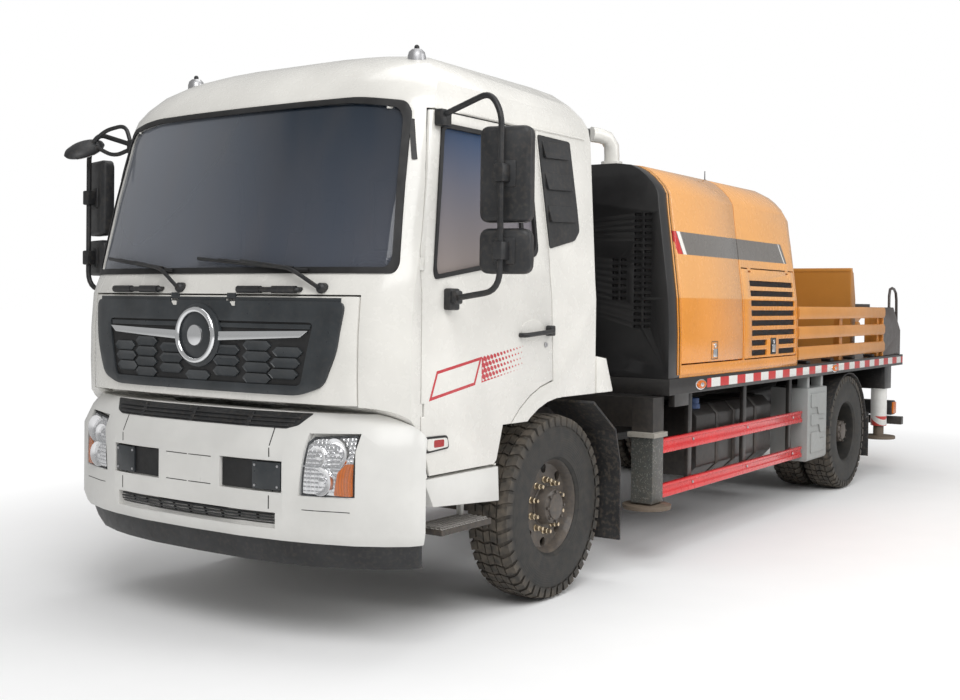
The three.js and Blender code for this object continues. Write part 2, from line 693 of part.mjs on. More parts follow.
function outriggerRear() {
  const z1 = deckTop - deckThickness - seat;
  const arm = box(jackRearX - 110, jackRearX + 110, railOuter + seat, jackY + 85, 835, z1);
  const sleeve = rod("z", 76, 470, 840, jackRearX, jackY, 20);
  const bore = rod("z", 50 + jackClearance + 2, 300, rearLegTop + seat, jackRearX, jackY, 16);
  return cut(join(arm, sleeve), bore);
}

// ---------------------------------------------------------------- rear
function rearFender() {
  const outer = tyreRadius + 24;
  const inner = tyreRadius + 12;
  const arc = (radius, from, to) => {
    const points = [];
    for (let i = 0; i <= 12; i += 1) {
      const turn = THREE.MathUtils.degToRad(from + ((to - from) * i) / 12);
      points.push([rearAxleX + radius * Math.cos(turn), tyreRadius + radius * Math.sin(turn)]);
    }
    return points;
  };
  const blade = prism("y", [...arc(outer, 8, 172), ...arc(inner, 172, 8)], 600, 1160);
  const flap = box(rearAxleX - 640, rearAxleX - 625, 620, 1150, 225, 640);
  const flapArm = box(rearAxleX - 640, rearAxleX - inner + 7, 620, 1150, tyreRadius + 80, tyreRadius + 96);
  const stay = box(rearAxleX - 30, rearAxleX + 30, 700, 1000, inner + tyreRadius + 4,
    deckTop - deckPlate - seat);
  return join(blade, flap, flapArm, stay);
}

// Three hexagonal rails on posts along the deck's edge, the box post that ends them and its hand rail.
function deckRails() {
  const front = hoodRear - 22;
  const rear = rearAxleX - 960;
  const axle = rearAxleX;
  const hexRail = (low, high) => prism("x", [
    [1146, low + 25], [1146, high - 25], [1160, high], [1190, high], [1200, high - 25], [1200, low + 25],
    [1190, low], [1160, low],
  ].reverse(), rear, front);
  const rails = [[1202, 1305], [1368, 1470], [1528, 1629]].map(([low, high]) => hexRail(low, high));
  const posts = [front - 60, (front + rear) / 2, rear + 60].map((x) =>
    box(x - 40, x + 40, 1095, 1150, deckTop + seat, 1600));
  const post = prism("y", [[axle - 1560, deckTop + seat], [rear + 10, deckTop + seat], [rear + 10, 1560],
    [axle - 1020, 1630], [axle - 1300, 1630], [axle - 1560, 1400]].reverse(), 1000, 1180);
  const loop = tube([V(axle - 1250, 1150, 1600), V(axle - 1250, 1150, 1835), V(axle - 1500, 1150, 1800),
    V(axle - 1520, 1150, 1420)], 15, 100, 6);
  return join(...rails, ...posts, post, loop);
}

// ---------------------------------------------------------------- pump set
const hopperRear = hopperFront - 1020;

// The hopper's bowl between its bottom and its rim, moved in by a wall.
function bowl(wall, bottom, top) {
  const ring = (z) => {
    const t = THREE.MathUtils.clamp((z - hopperBottom) / (hopperRim - hopperBottom), -0.2, 1.2);
    const x1 = THREE.MathUtils.lerp(hopperFront - 170, hopperFront, t) - wall;
    const x0 = THREE.MathUtils.lerp(hopperRear + 220, hopperRear, t) + wall;
    const y = THREE.MathUtils.lerp(430, hopperRimHalf, t) - wall;
    const c = 70;
    return [V(x1, -y + c, z), V(x1, y - c, z), V(x1 - c, y, z), V(x0 + c, y, z), V(x0, y - c, z), V(x0,
    -y + c, z),
      V(x0 + c, -y, z), V(x1 - c, -y, z)];
  };
  return loft([ring(bottom), ring(top)]);
}

const agitatorX = (hopperFront + hopperRear) / 2;
const agitatorZ = 1420;
const shaftRadius = 28;

function hopper() {
  const shell = cut(bowl(0, hopperBottom, hopperRim), bowl(hopperWall, hopperBottom + hopperWall,
    hopperRim + 20));
  const lip = cut(
    box(hopperRear - 25, hopperFront + 25, -(hopperRimHalf + 25), hopperRimHalf + 25, hopperRim - 30,
    hopperRim),
    bowl(hopperWall, hopperBottom, hopperRim + 20),
  );
  const legs = bothSides(box(hopperRear + 330, hopperFront - 250, railOuter - 80, railOuter, deckTop + seat,
    hopperBottom + 10));
  const outlet = rod("x", 95, rearEnd + 24, hopperRear + 290, 0, 1300, 20);
  const flange = rod("x", 135, rearEnd, rearEnd + 28, 0, 1300, 20);
  const outletBore = rod("x", 75, rearEnd - 5, hopperRear + 320, 0, 1300, 20);
  const ports = bothSides(rod("x", 70, hopperFront - 300, hopperFront + 40, cylinderY, cylinderZ, 16));
  const bearings = rod("y", 60, -(hopperRimHalf + 15), hopperRimHalf + 15, agitatorX, agitatorZ, 16);
  const bearingCut = bowl(hopperWall, hopperBottom + hopperWall, hopperRim + 20);
  const shaftHole = rod("y", shaftRadius + 1, -(hopperRimHalf + 60), hopperRimHalf + 60, agitatorX,
    agitatorZ, 20);
  const body = join(shell, lip, legs, cut(join(outlet, bearings), bearingCut), flange);
  return cut(body, outletBore, ports, shaftHole);
}

function agitator() {
  const shaft = rod("y", shaftRadius, -(hopperRimHalf + 10), hopperRimHalf + 10, agitatorX, agitatorZ, 20);
  const paddle = (y, turn) => {
    const blade = new THREE.BoxGeometry(24, 120, 290);
    blade.rotateZ(0.35);
    blade.rotateY(turn);
    return solid(blade.translate(agitatorX, y, agitatorZ));
  };
  return join(shaft, paddle(330, 0), paddle(-330, 0), paddle(110, 1.05), paddle(-110, 1.05));
}

function hopperGrate() {
  const z0 = hopperRim + seat;
  const z1 = z0 + 32;
  const x0 = hopperRear + 15;
  const x1 = hopperFront - 10;
  const y = hopperRimHalf - 20;
  const rim = cut(box(x0, x1, -y, y, z0, z1), box(x0 + 40, x1 - 40, -y + 40, y - 40, z0 - 5, z1 + 5));
  const bars = [];
  const gaps = 9;
  for (let i = 1; i < gaps; i += 1) {
    const at = -y + 20 + ((2 * y - 40) * i) / gaps;
    bars.push(box(x0 + 20, x1 - 20, at - 8, at + 8, z0 + 3, z1 - 8));
  }
  const mid = box((x0 + x1) / 2 - 12, (x0 + x1) / 2 + 12, -y + 20, y - 20, z0 + 6, z1 - 5);
  return join(rim, ...bars, mid);
}

function splashGuard() {
  const x1 = hopperFront + 210;
  const x0 = x1 - 30;
  const plate = box(x0, x1, -870, 870, deckTop + seat, 2010);
  const lip = box(x0 - 30, x1 + 6, -870, 870, 1975, 2010);
  const wing = prism("y", [[x0 + 5, deckTop + seat], [x0 + 5, 2010], [x0 - 60, 1960], [x0 - 130, 1700],
    [x0 - 130, deckTop + seat]], 845, 870);
  const opening = box(x0 - 40, x1 + 20, -330, 330, deckTop - 5, 1580);
  return cut(join(plate, lip, bothSides(wing)), opening);
}

function pumpUnit() {
  const front = -3640;
  const boxRear = -5150;
  const waterBox = box(boxRear, -4850, -310, 310, 1260, 1600);
  const feet = bothSides(join(box(-5120, -4880, 180, 300, deckTop + seat, 1270),
    box(-3850, -3750, 180, 300, deckTop + seat, 1350)));
  const bridge = box(-3850, -3750, -300, 300, 1300, 1400);
  const drive = rod("x", 60, -4860, front, cylinderY, cylinderZ, 14);
  const barrel = rod("x", cylinderRadius, hopperFront - 40, boxRear + 20, cylinderY, cylinderZ, 16);
  const clear = bowl(-seat, hopperBottom, hopperRim + 20);
  const headBox = box(hopperFront + 230, hopperFront + 330, -300, 300, 1290, 1530);
  return cut(join(waterBox, feet, bridge, headBox, bothSides(join(drive, barrel))), clear,
    box(hopperFront, hopperFront + 26, -900, 900, hopperRim - 31, hopperRim));
}

function intakePipe() {
  const top = hoodTop - 6 + seat;
  const pipe = tube([V(-1300, 720, top), V(-1300, 720, 2730), V(-1160, 640, 2740)], 50, 90, 12);
  const collar = rod("z", 70, top, top + 20, -1300, 720, 16);
  return join(pipe, collar);
}

// Air intake stack of the truck's engine behind the cab.
function snorkel() {
  const base = box(-680, -500, 345, 545, railTop + seat, 2500);
  const head = prism("y", [[-700, 2440], [-480, 2440], [-480, 2640], [-560, 2700], [-700, 2700]], 345, 900);
  return join(base, head);
}

// ---------------------------------------------------------------- cab
// Spaces under the cab: wheel arches, and the tunnel over the engine.
function archCut(grow) {
  const arch = rod("y", archRadius + grow, archInner - grow, 1300, 0, tyreRadius, 40);
  const behind = box(-900, 0, archInner - grow, 1300, 300, tyreRadius + archRadius + grow);
  return bothSides(join(arch, behind));
}
const tunnel = (grow) => box(-900, 950 + grow, -(380 + grow), 380 + grow, 600, 1260 + grow);

const firewall = 190; // depth of the nose between its face and the footwell

function cabInside() {
  const upper = cabSkin(1665, cabWall, cabWall, cabWall);
  const lower = cabSkin(cabFloor + cabWall, cabWall, firewall, cabWall)
    .intersect(box(-900, 2000, -1300, 1300, 900, 1700));
  const well = bothSides(box(700, 1160, 860, 1075, 870, 1200));
  return cut(join(upper, lower, well), archCut(cabWall), tunnel(cabWall));
}

const WINDSHIELD = [[1020, 1790], [1035, 1830], [975, 2510], [940, 2560], [700, 2590], [0, 2600]];
const windshieldOutline = (gap) => {
  const half = WINDSHIELD.map(([y, z]) => [y + gap, z > 2200 ? z + gap : z - gap]);
  half[half.length - 1][0] = 0;
  const other = half.slice(0, -1).reverse().map(([y, z]) => [-y, z]);
  return [...half, ...other];
};
const rearWindow = (gap) => box(cabRear - 50, cabRear + 200, -(560 + gap), 560 + gap, 1960 - gap, 2430 + gap);

const flapBox = (g) => box(1250, 1800, -(flapHalf + g), flapHalf + g, 1152 - 4 * g, flapTop - seam + g);

const doorPins = [1100, 1780].map((z) => hinge("z", z, z + 60, doorLine - 8, cabHalf - 8, 24, 0));
const flapPins = [-230, 170].map((y) => hinge("y", y, y + 60, flapAxisX, flapAxisZ, 0, 24));

function cabBody() {
  const sill = bothSides(prism("y", [[640, sillBottom], [1240, sillBottom], [1310, 1060],
    [560, 1060]].reverse(),
    810, cabHalf));
  const flare = bothSides(prism("y", [[cabRear + 30, 1118], [cabRear + 30, 1330], [-500, 1314], [-581, 1131],
    [-581, 1118]].reverse(), 1065, 1135));
  return join(cut(join(cabSkin(cabFloor, 0, 0), sill), archCut(0)), flare);
}

function cabShell() {
  const nose = rod("y", cabSweep, -1300, 1300, tiltX, tiltZ, 48);
  const pocket = cut(flapBox(seam), cabSkin(cabFloor - 5, 0, 112));
  const doors = bothSides(prism("y", doorOutline(seam), 700, 1300));
  const inside = cabInside();
  const jamb = cabHalf - cabWall - seam; // the sill and floor end behind the closed door
  const doorHoles = cut(doors, box(-900, 2000, -jamb, jamb, 700, cabFloor + cabWall));
  const glassHole = prism("x", windshieldOutline(0), 900, 1800);
  const arms = bothSides(join(
    prism("y", [[1180, 1012], [1180, 1040], [1310, 1050], [tiltX + 20, 935], [tiltX + 42, tiltZ],
    [tiltX, 858],
      [tiltX - 45, 868]].reverse(), 280, 340),
    rod("y", tiltPinRadius, 290, railOuter + 5, tiltX, tiltZ, 24),
  ));
  const shell = cut(cabBody(), inside, nose, pocket, doorHoles, glassHole, rearWindow(0), tunnel(0));
  const lugs = [...doorPins.map((pin) => bothSides(pin.lug)), ...flapPins.map((pin) => pin.lug)];
  return join(shell, arms, ...lugs);
}

function door() {
  const leaf = cut(cabBody(), cabSkin(700, cabWall, cabWall)).intersect(prism("y", doorOutline(0), 860,
    1300));
  return cut(leaf, prism("y", DOOR_WINDOW, 700, 1300), ...doorPins.map((pin) => pin.notch));
}

function windshield() {
  const pane = cut(cabSkin(1500, 10, 10), cabSkin(1500, 32, 32));
  return pane.intersect(prism("x", windshieldOutline(-seat), 900, 1800));
}

function frontFlap() {
  const leaf = cut(cabSkin(cabFloor, 0, 0), cabSkin(cabFloor - 5, 0, 48)).intersect(flapBox(0));
  return cut(leaf, ...flapPins.map((pin) => pin.notch));
}

function mirror() {
  const post = [V(1062, 1150, 1650), V(1130, 1470, 1690), V(1130, 1470, 2500), V(1120, 1400, 2600),
    V(1100, 1118, 2520)];
  const bar = tube(post, 14, 110, 6);
  const heads = [[2226, 222], [1872, 105]].map(([z, half]) => {
    const head = new THREE.BoxGeometry(70, 250, 2 * half);
    head.rotateZ(0.28);
    return solid(head.translate(1052, 1455, z));
  });
  const clamps = [2226, 1872].map((z) => box(1080, 1152, 1448, 1492, z - 40, z + 40));
  const feet = [box(1030, 1095, 1100, 1165, 1610, 1690), box(1065, 1120, 1060, 1130, 2478, 2536)];
  return cut(join(bar, ...heads, ...clamps, ...feet), cabSkin(1100, -seat, -seat));
}

// The right door's mirror also carries an oval mirror over the kerb, on a bent tube and a stay.
function mirrorRight() {
  const bar = tube([V(1100, -1112, 2515), V(1085, -1180, 2655), V(1130, -1300, 2585), V(1185, -1400, 2540)],
    11, 50, 6);
  const stay = tube([V(1185, -1390, 2536), V(1140, -1230, 2455), V(1100, -1112, 2500)], 11, 60, 6);
  const head = new THREE.SphereGeometry(1, 14, 8).scale(90, 155, 62);
  head.rotateZ(0.35).rotateX(0.3);
  return join(mirrored(mirror()), bar, stay, solid(head.translate(1215, -1425, 2500)));
}

function dashboard() {
  const block = cabSkin(1300, cabWall + seat, firewall + seat).intersect(box(1040, 1600, -980, 980, 1400,
    1655));
  const column = solid(new THREE.CylinderGeometry(28, 34, 420, 10).rotateX(Math.PI / 2).rotateY(-0.95)
    .translate(1010, 560, 1575));
  const wheel = new THREE.TorusGeometry(205, 16, 6, 16).rotateY(-0.95);
  const spoke = new THREE.BoxGeometry(400, 34, 14).rotateY(Math.PI / 2 - 0.95);
  const hub = [852, 560, 1690];
  const upright = new THREE.BoxGeometry(14, 400, 34).rotateY(-0.95 + Math.PI / 2);
  return join(block, column, solid(wheel.translate(...hub)), solid(spoke.translate(...hub)),
    solid(upright.translate(...hub)));
}

function seatBody() {
  const floor = tyreRadius + archRadius + cabWall;
  const base = box(-60, 420, 540, 960, floor + seat, floor + 200);
  const cushion = prism("y", [[-80, floor + 190], [480, floor + 200], [500, floor + 260], [440, floor + 310],
    [-40, floor + 290]], 500, 1000);
  const back = prism("y", [[-60, floor + 270], [60, floor + 270], [-60, floor + 900],
    [-160, floor + 900]], 510, 990);
  const head = prism("y", [[-70, floor + 890], [-160, floor + 890], [-190, floor + 1090],
    [-110, floor + 1100]],
    620, 880);
  return join(base, cushion, back, head);
}

// ---------------------------------------------------------------- the assembly
place(chassis, "frame", "blackPaint", frame());
place(chassis, "front_axle", "darkSteel", frontAxle());
place(chassis, "rear_axle", "darkSteel", rearAxle());
place(chassis, "powertrain", "greyPaint", powertrain());
place(chassis, "bumper", "cabPaint", bumper());
place(chassis, "air_dam", "blackPlastic", airDam());
placePair(chassis, "step", "cabPaint", step());
placePair(chassis, "front_mudguard", "blackPlastic", frontMudguard());
placePair(chassis, "knuckle", "darkSteel", knuckle());
placePair(chassis, "front_wheel", "rubber", frontWheel());
placePair(chassis, "rear_wheel", "rubber", rearWheel());
placePair(chassis, "rear_fender", "blackPlastic", rearFender());
place(chassis, "deck", "blackPaint", deck());
placePair(chassis, "side_guard", "redPaint", sideGuard());
place(chassis, "tool_box", "greyPaint", toolBox());
place(chassis, "fuel_tank", "blackPaint", fuelTank());
place(chassis, "battery_and_urea_box", "blackPaint", batteryBox());
place(chassis, "outrigger_front", "blackPaint", outriggerFront());
placePair(chassis, "outrigger_rear", "cabPaint", outriggerRear());
placePair(chassis, "jack_leg_front", "steel", jackLeg(jackFrontX, false));
placePair(chassis, "jack_leg_rear", "steel", jackLeg(jackRearX, true));
place(chassis, "snorkel", "greyPaint", snorkel());

place(cab, "cab_shell", "cabPaint", cabShell());
place(cab, "windshield", "glass", windshield());
place(cab, "front_flap", "blackPlastic", frontFlap());
placePair(cab, "door", "cabPaint", door());
place(cab, "mirror_left", "blackPlastic", mirror());
place(cab, "mirror_right", "blackPlastic", mirrorRight());
place(cab, "dashboard", "trim", dashboard());
placePair(cab, "seat", "trim", seatBody());

place(pump, "hood_frame", "blackPaint", hoodFrame());
place(pump, "hood_shell", "yellowPaint", hoodShell());
placePair(pump, "hood_door_front", "yellowPaint", hoodPanel(gullBox(0), gullPins));
placePair(pump, "hood_door_louvred", "yellowPaint", hoodPanel(louvreBox(0), louvrePins));
place(pump, "pump_engine", "greyPaint", pumpEngine());
place(pump, "intake_pipe", "cabPaint", intakePipe());
placePair(pump, "deck_rails", "yellowPaint", deckRails());
place(pump, "splash_guard", "yellowPaint", splashGuard());
place(pump, "pump_unit", "darkSteel", pumpUnit());
place(pump, "hopper", "yellowPaint", hopper());
place(pump, "hopper_grate", "darkSteel", hopperGrate());
place(pump, "agitator", "steel", agitator());

truck.position.x = (rearOverhang + wheelbase - frontOverhang) / 2;
export default truck;
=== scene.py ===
"""Looks of a truck-mounted concrete line pump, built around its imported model."""

from __future__ import annotations

import logging
import math
from dataclasses import dataclass, field
from enum import Enum
from typing import Callable, ClassVar, Sequence

import bmesh
import bpy
from mathutils import Matrix, Vector
from mathutils.bvhtree import BVHTree


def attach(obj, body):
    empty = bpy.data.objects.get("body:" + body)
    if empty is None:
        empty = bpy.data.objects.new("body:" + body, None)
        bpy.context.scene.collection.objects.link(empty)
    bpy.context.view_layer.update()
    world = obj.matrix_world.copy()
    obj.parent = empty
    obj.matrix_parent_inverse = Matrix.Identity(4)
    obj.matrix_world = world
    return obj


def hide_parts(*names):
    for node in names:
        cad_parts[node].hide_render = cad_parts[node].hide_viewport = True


logging.basicConfig(level=logging.INFO, format="%(message)s")
LOG = logging.getLogger("line_pump")

AXLE = 2.770  # front axle, ahead of the frame's origin
WHEEL_HEIGHT = 0.510
Point = tuple[float, float]
Colour = tuple[float, float, float]
Surface = Callable[[float, float], float]  # depth at (a, b)


class Axis(Enum):
    """The axis that an outline is drawn across."""

    X = 0
    Y = 1
    Z = 2

    def lift(self, a: float, b: float, depth: float) -> Vector:
        """Returns the point of an outline's (a, b) at a depth along this axis.

        Args:
            a: First coordinate: X for Y and Z outlines, Y for an X outline.
            b: Second coordinate: Y for a Z outline, otherwise Z.
            depth: Place along the axis.

        Returns:
            The point in the frame's axes.
        """
        if self is Axis.X:
            return Vector((depth, a, b))
        if self is Axis.Y:
            return Vector((a, depth, b))
        return Vector((a, b, depth))


def at(x: float, y: float, z: float) -> Vector:
    """Returns a point given from the front axle, in the frame's axes."""
    return Vector((x + AXLE, y, z))


def srgb(red: int, green: int, blue: int) -> Colour:
    """Returns a screen colour, 0 to 255, as linear values."""

    def linear(v: int) -> float:
        """Returns one channel as a linear value."""
        share = v / 255
        return share / 12.92 if share <= 0.04045 else ((share + 0.055) / 1.055) ** 2.4

    return linear(red), linear(green), linear(blue)


def rounded(corners: Sequence[Point], radius: float, steps: int = 4) -> list[Point]:
    """Rounds the corners of an outline.

    Args:
        corners: The outline's corners in order.
        radius: Reach of each rounding along its two sides.
        steps: Segments in each rounding.

    Returns:
        The outline with a short curve in place of each corner.
    """
    result: list[Point] = []
    count = len(corners)
    for i, corner in enumerate(corners):
        here = Vector(corner)
        before = Vector(corners[i - 1]) - here
        after = Vector(corners[(i + 1) % count]) - here
        reach = min(radius, before.length * 0.45, after.length * 0.45)
        start = here + before.normalized() * reach
        end = here + after.normalized() * reach
        for k in range(steps + 1):
            t = k / steps
            p = start * (1 - t) ** 2 + here * (2 * t * (1 - t)) + end * t**2
            result.append((p.x, p.y))
    return result


def rectangle(a0: float, a1: float, b0: float, b1: float) -> list[Point]:
    """Returns the corners of a rectangle."""
    return [(a0, b0), (a1, b0), (a1, b1), (a0, b1)]


def ellipse(a: float, b: float, half_a: float, half_b: float, sides: int = 32) -> list[Point]:
    """Returns the outline of an ellipse around (a, b)."""
    turns = [2 * math.pi * i / sides for i in range(sides)]
    return [(a + half_a * math.cos(t), b + half_b * math.sin(t)) for t in turns]


# ------------------------------------------------------------------ shader maths
class Value:
    """A node's output socket, with arithmetic written as Python operators."""

    def __init__(self, graph: Graph, socket: bpy.types.NodeSocket) -> None:
        """Wraps a socket of a graph."""
        self.graph = graph
        self.socket = socket

    def _math(self, operation: str, first: Value | float, second: Value | float) -> Value:
        """Returns a Math node's result on two values."""
        return self.graph.node("ShaderNodeMath", {"operation": operation}, {0: first, 1: second})

    def __add__(self, other: Value | float) -> Value:
        """Returns self + other."""
        return self._math("ADD", self, other)

    __radd__ = __add__

    def __sub__(self, other: Value | float) -> Value:
        """Returns self - other."""
        return self._math("SUBTRACT", self, other)

    def __rsub__(self, other: Value | float) -> Value:
        """Returns other - self."""
        return self._math("SUBTRACT", other, self)

    def __mul__(self, other: Value | float) -> Value:
        """Returns self * other."""
        return self._math("MULTIPLY", self, other)

    __rmul__ = __mul__

    def __truediv__(self, other: Value | float) -> Value:
        """Returns self / other."""
        return self._math("DIVIDE", self, other)

    def __mod__(self, other: Value | float) -> Value:
        """Returns self modulo other, never negative."""
        return self._math("FLOORED_MODULO", self, other)

    def __gt__(self, other: Value | float) -> Value:
        """Returns 1 where self is the greater."""
        return self._math("GREATER_THAN", self, other)

    def __lt__(self, other: Value | float) -> Value:
        """Returns 1 where self is the smaller."""
        return self._math("LESS_THAN", self, other)

    def power(self, exponent: float) -> Value:
        """Returns self to a power."""
        return self._math("POWER", self, exponent)

    def absolute(self) -> Value:
        """Returns self without its sign."""
        return self._math("ABSOLUTE", self, 0.0)

    def ramp(self, low: float, high: float) -> Value:
        """Returns self spread so that low gives 0 and high gives 1, held between them."""
        sockets = {0: self, 1: low, 2: high, 3: 0.0, 4: 1.0}
        return self.graph.node("ShaderNodeMapRange", {"clamp": True}, sockets)

    def within(self, low: float, high: float) -> Value:
        """Returns 1 between low and high, and 0 elsewhere."""
        return (self > low) * (self < high)


class Graph:
    """The node tree of one material."""

    def __init__(self, name: str) -> None:
        """Makes a material with only a Principled shader.

        Args:
            name: The material's name.
        """
        self.material = bpy.data.materials.new(name)
        self.material.use_nodes = True
        self.tree = self.material.node_tree
        self.shader = self.tree.nodes["Principled BSDF"]
        place = self.tree.nodes.new("ShaderNodeTexCoord").outputs["Object"]
        self.place = Value(self, place)
        parts = self.tree.nodes.new("ShaderNodeSeparateXYZ")
        self.tree.links.new(place, parts.inputs[0])
        self.x, self.y, self.z = (Value(self, parts.outputs[i]) for i in range(3))

    def node(self, kind: str, settings: dict, sockets: dict, output: int | str = 0) -> Value:
        """Adds a node.

        Args:
            kind: The node's type.
            settings: Properties set before its sockets.
            sockets: Socket name or number to a value, a colour or a link.
            output: Which output is wanted.

        Returns:
            The wanted output.
        """
        made = self.tree.nodes.new(kind)
        for name, setting in settings.items():
            setattr(made, name, setting)
        for key, content in sockets.items():
            socket = made.inputs[key]
            if isinstance(content, Value):
                self.tree.links.new(content.socket, socket)
            elif isinstance(content, tuple) and len(content) == 3 and socket.type == "RGBA":
                socket.default_value = (*content, 1.0)
            else:
                socket.default_value = content
        return Value(self, made.outputs[output])

    def noise(self, scale: float, detail: float = 3.0, stretch: Colour = (1, 1, 1)) -> Value:
        """Returns noise from 0 to 1, finer with scale and stretched by axis."""
        spread = self.node("ShaderNodeMapping", {}, {"Vector": self.place, "Scale": stretch})
        return self.node("ShaderNodeTexNoise", {}, {"Vector": spread, "Scale": scale, "Detail": detail})

    def mix(self, share: Value | float, first: Value | Colour, second: Value | Colour) -> Value:
        """Returns the colour that is first where share is 0 and second where it is 1."""
        settings = {"data_type": "RGBA", "clamp_factor": True}
        return self.node("ShaderNodeMix", settings, {0: share, 6: first, 7: second}, 2)

    def bump(self, height: Value, distance: float, strength: float = 1.0) -> Value:
        """Returns a normal bent by a height."""
        sockets = {"Strength": strength, "Distance": distance, "Height": height}
        return self.node("ShaderNodeBump", {}, sockets)

    def drive(self, **sockets: Value | float | Colour) -> None:
        """Sets or links the shader's sockets, underscores standing for spaces."""
        for name, content in sockets.items():
            socket = self.shader.inputs[name.replace("_", " ")]
            if isinstance(content, Value):
                self.tree.links.new(content.socket, socket)
            elif socket.type == "RGBA":
                socket.default_value = (*content, 1.0)
            else:
                socket.default_value = content


# ------------------------------------------------------------------ finishes
DUST = srgb(126, 112, 96)
BLACK_TONE = srgb(17, 17, 19)


@dataclass(frozen=True)
class Finish:
    """What every finish has: a name, the record's slot and a material made once."""

    name: str
    slot: str
    made: ClassVar[dict[str, bpy.types.Material]] = {}

    def material(self) -> bpy.types.Material:
        """Returns the material, built on its first use."""
        if self.name not in Finish.made:
            graph = Graph(self.name)
            self.build(graph)
            Finish.made[self.name] = graph.material
        return Finish.made[self.name]

    def build(self, graph: Graph) -> None:
        """Builds the finish in a graph."""
        raise NotImplementedError


@dataclass(frozen=True)
class Paint(Finish):
    """Sprayed paint with faint unevenness, settled dust and scuffs."""

    colour: Colour
    gloss: float = 0.28
    coat: float = 0.35
    dust: float = 0.35
    dust_top: float = 1.1
    scuffs: float = 0.15

    def tint(self, graph: Graph, colour: Value) -> Value:
        """Returns the paint's colour with any bands on it; plain paint has none."""
        return colour

    def build(self, graph: Graph) -> None:
        """Builds paint whose dust thins out with height.

        Args:
            graph: The material's node tree.
        """
        cloud = graph.noise(2.3, 4.0)
        pale = tuple(min(1.0, c * 1.05 + 0.004) for c in self.colour)
        deep = tuple(c * 0.92 for c in self.colour)
        colour = self.tint(graph, graph.mix(cloud.ramp(0.35, 0.65), deep, pale))
        low = 1.0 - graph.z.ramp(0.25, self.dust_top)
        speckle = graph.noise(38.0, 5.0).ramp(0.35, 0.95)
        dusty = (low * 0.75 + 0.05) * (0.35 + speckle) * self.dust
        scuff = graph.noise(55.0, 2.0, (0.4, 0.4, 1.6)).ramp(0.62, 0.80) * self.scuffs
        colour = graph.mix(dusty, colour, DUST)
        graph.drive(
            Base_Color=graph.mix(scuff * 0.5, colour, tuple(c * 0.7 for c in self.colour)),
            Roughness=graph.noise(17.0).ramp(0.2,
                                             0.8) * 0.12 + (dusty * 0.5 + scuff * 0.25) + (self.gloss - 0.04),
            Coat_Weight=self.coat,
            Coat_Roughness=0.08,
            Normal=graph.bump(graph.noise(240.0, 2.0), 0.0004, 0.25),
        )


@dataclass(frozen=True)
class HoodPaint(Paint):
    """Hood paint with the long grey side band and the slashes at its front end."""

    band: Colour = srgb(112, 108, 104)
    slash: Colour = srgb(196, 40, 38)
    edge: Colour = srgb(236, 234, 228)
    # painted sky reflection: the paler colour laid above the crease
    upper: Colour = srgb(236, 184, 124)
    crease: float = 1.679
    band_low: float = 1.964
    band_high: float = 2.112
    front: float = -1.345
    rear: float = -3.400
    lean: float = 0.5

    def tint(self, graph: Graph, colour: Value) -> Value:
        """Returns the hood's colour, paler above the crease as a painted sky reflection, with the bands laid
        over it.

        Args:
            graph: The material's node tree.
            colour: The paint's own colour.

        Returns:
            The colour with its bands.
        """
        # painted sky reflection: the hood side is paler above the crease
        colour = graph.mix((graph.z > self.crease) * 0.55, colour, self.upper)
        along = graph.x - AXLE - (self.band_high - graph.z) * self.lean * -1.0
        high = graph.z.within(self.band_low, self.band_high) * (graph.y.absolute() > 1.0)
        tail = graph.x - AXLE - (graph.z - self.band_low) * self.lean * 1.3
        colour = graph.mix(high * (tail > self.rear) * (along < self.front), colour, self.band)
        colour = graph.mix(high * along.within(self.front - 0.075, self.front), colour, self.slash)
        colour = graph.mix(high * along.within(self.front - 0.135, self.front - 0.084), colour, self.edge)
        return graph.mix(high * tail.within(self.rear + 0.045, self.rear + 0.062), colour, self.edge)


@dataclass(frozen=True)
class DoorPaint(Paint):
    """Cab paint with a slanted red frame and a fading field of red dots on the doors."""

    red: Colour = srgb(188, 34, 46)
    front: float = 1.205
    joint: float = 0.775
    end: float = 0.395
    low: float = 1.235
    high: float = 1.365
    pitch: float = 0.029

    def tint(self, graph: Graph, colour: Value) -> Value:
        """Returns the door's colour with the frame, and with dots that shrink rearwards.

        Args:
            graph: The material's node tree.
            colour: The paint's own colour.

        Returns:
            The colour with frame and dots.
        """
        along = graph.x - AXLE
        height = graph.z + (along - self.joint) * 0.155
        lean = along + (height - self.low) * 0.45
        slanted = along - (height - self.low) * 0.55
        across = ((slanted % self.pitch) / self.pitch - 0.5).absolute()
        up = ((height % self.pitch) / self.pitch - 0.5).absolute()
        size = along.ramp(self.end, self.joint) * 0.42 + 0.12
        dot = ((across * across + up * up) < size * size) * along.within(self.end, self.joint)
        dots = dot * height.within(self.low, self.high)
        outer = lean.within(self.joint + 0.055, self.front) * height.within(self.low, self.high)
        inner = lean.within(self.joint + 0.072, self.front - 0.017) * height.within(self.low + 0.015,
                self.high - 0.015)
        side = graph.y.absolute() > 1.0
        return graph.mix((dots + outer - inner) * side, colour, self.red)


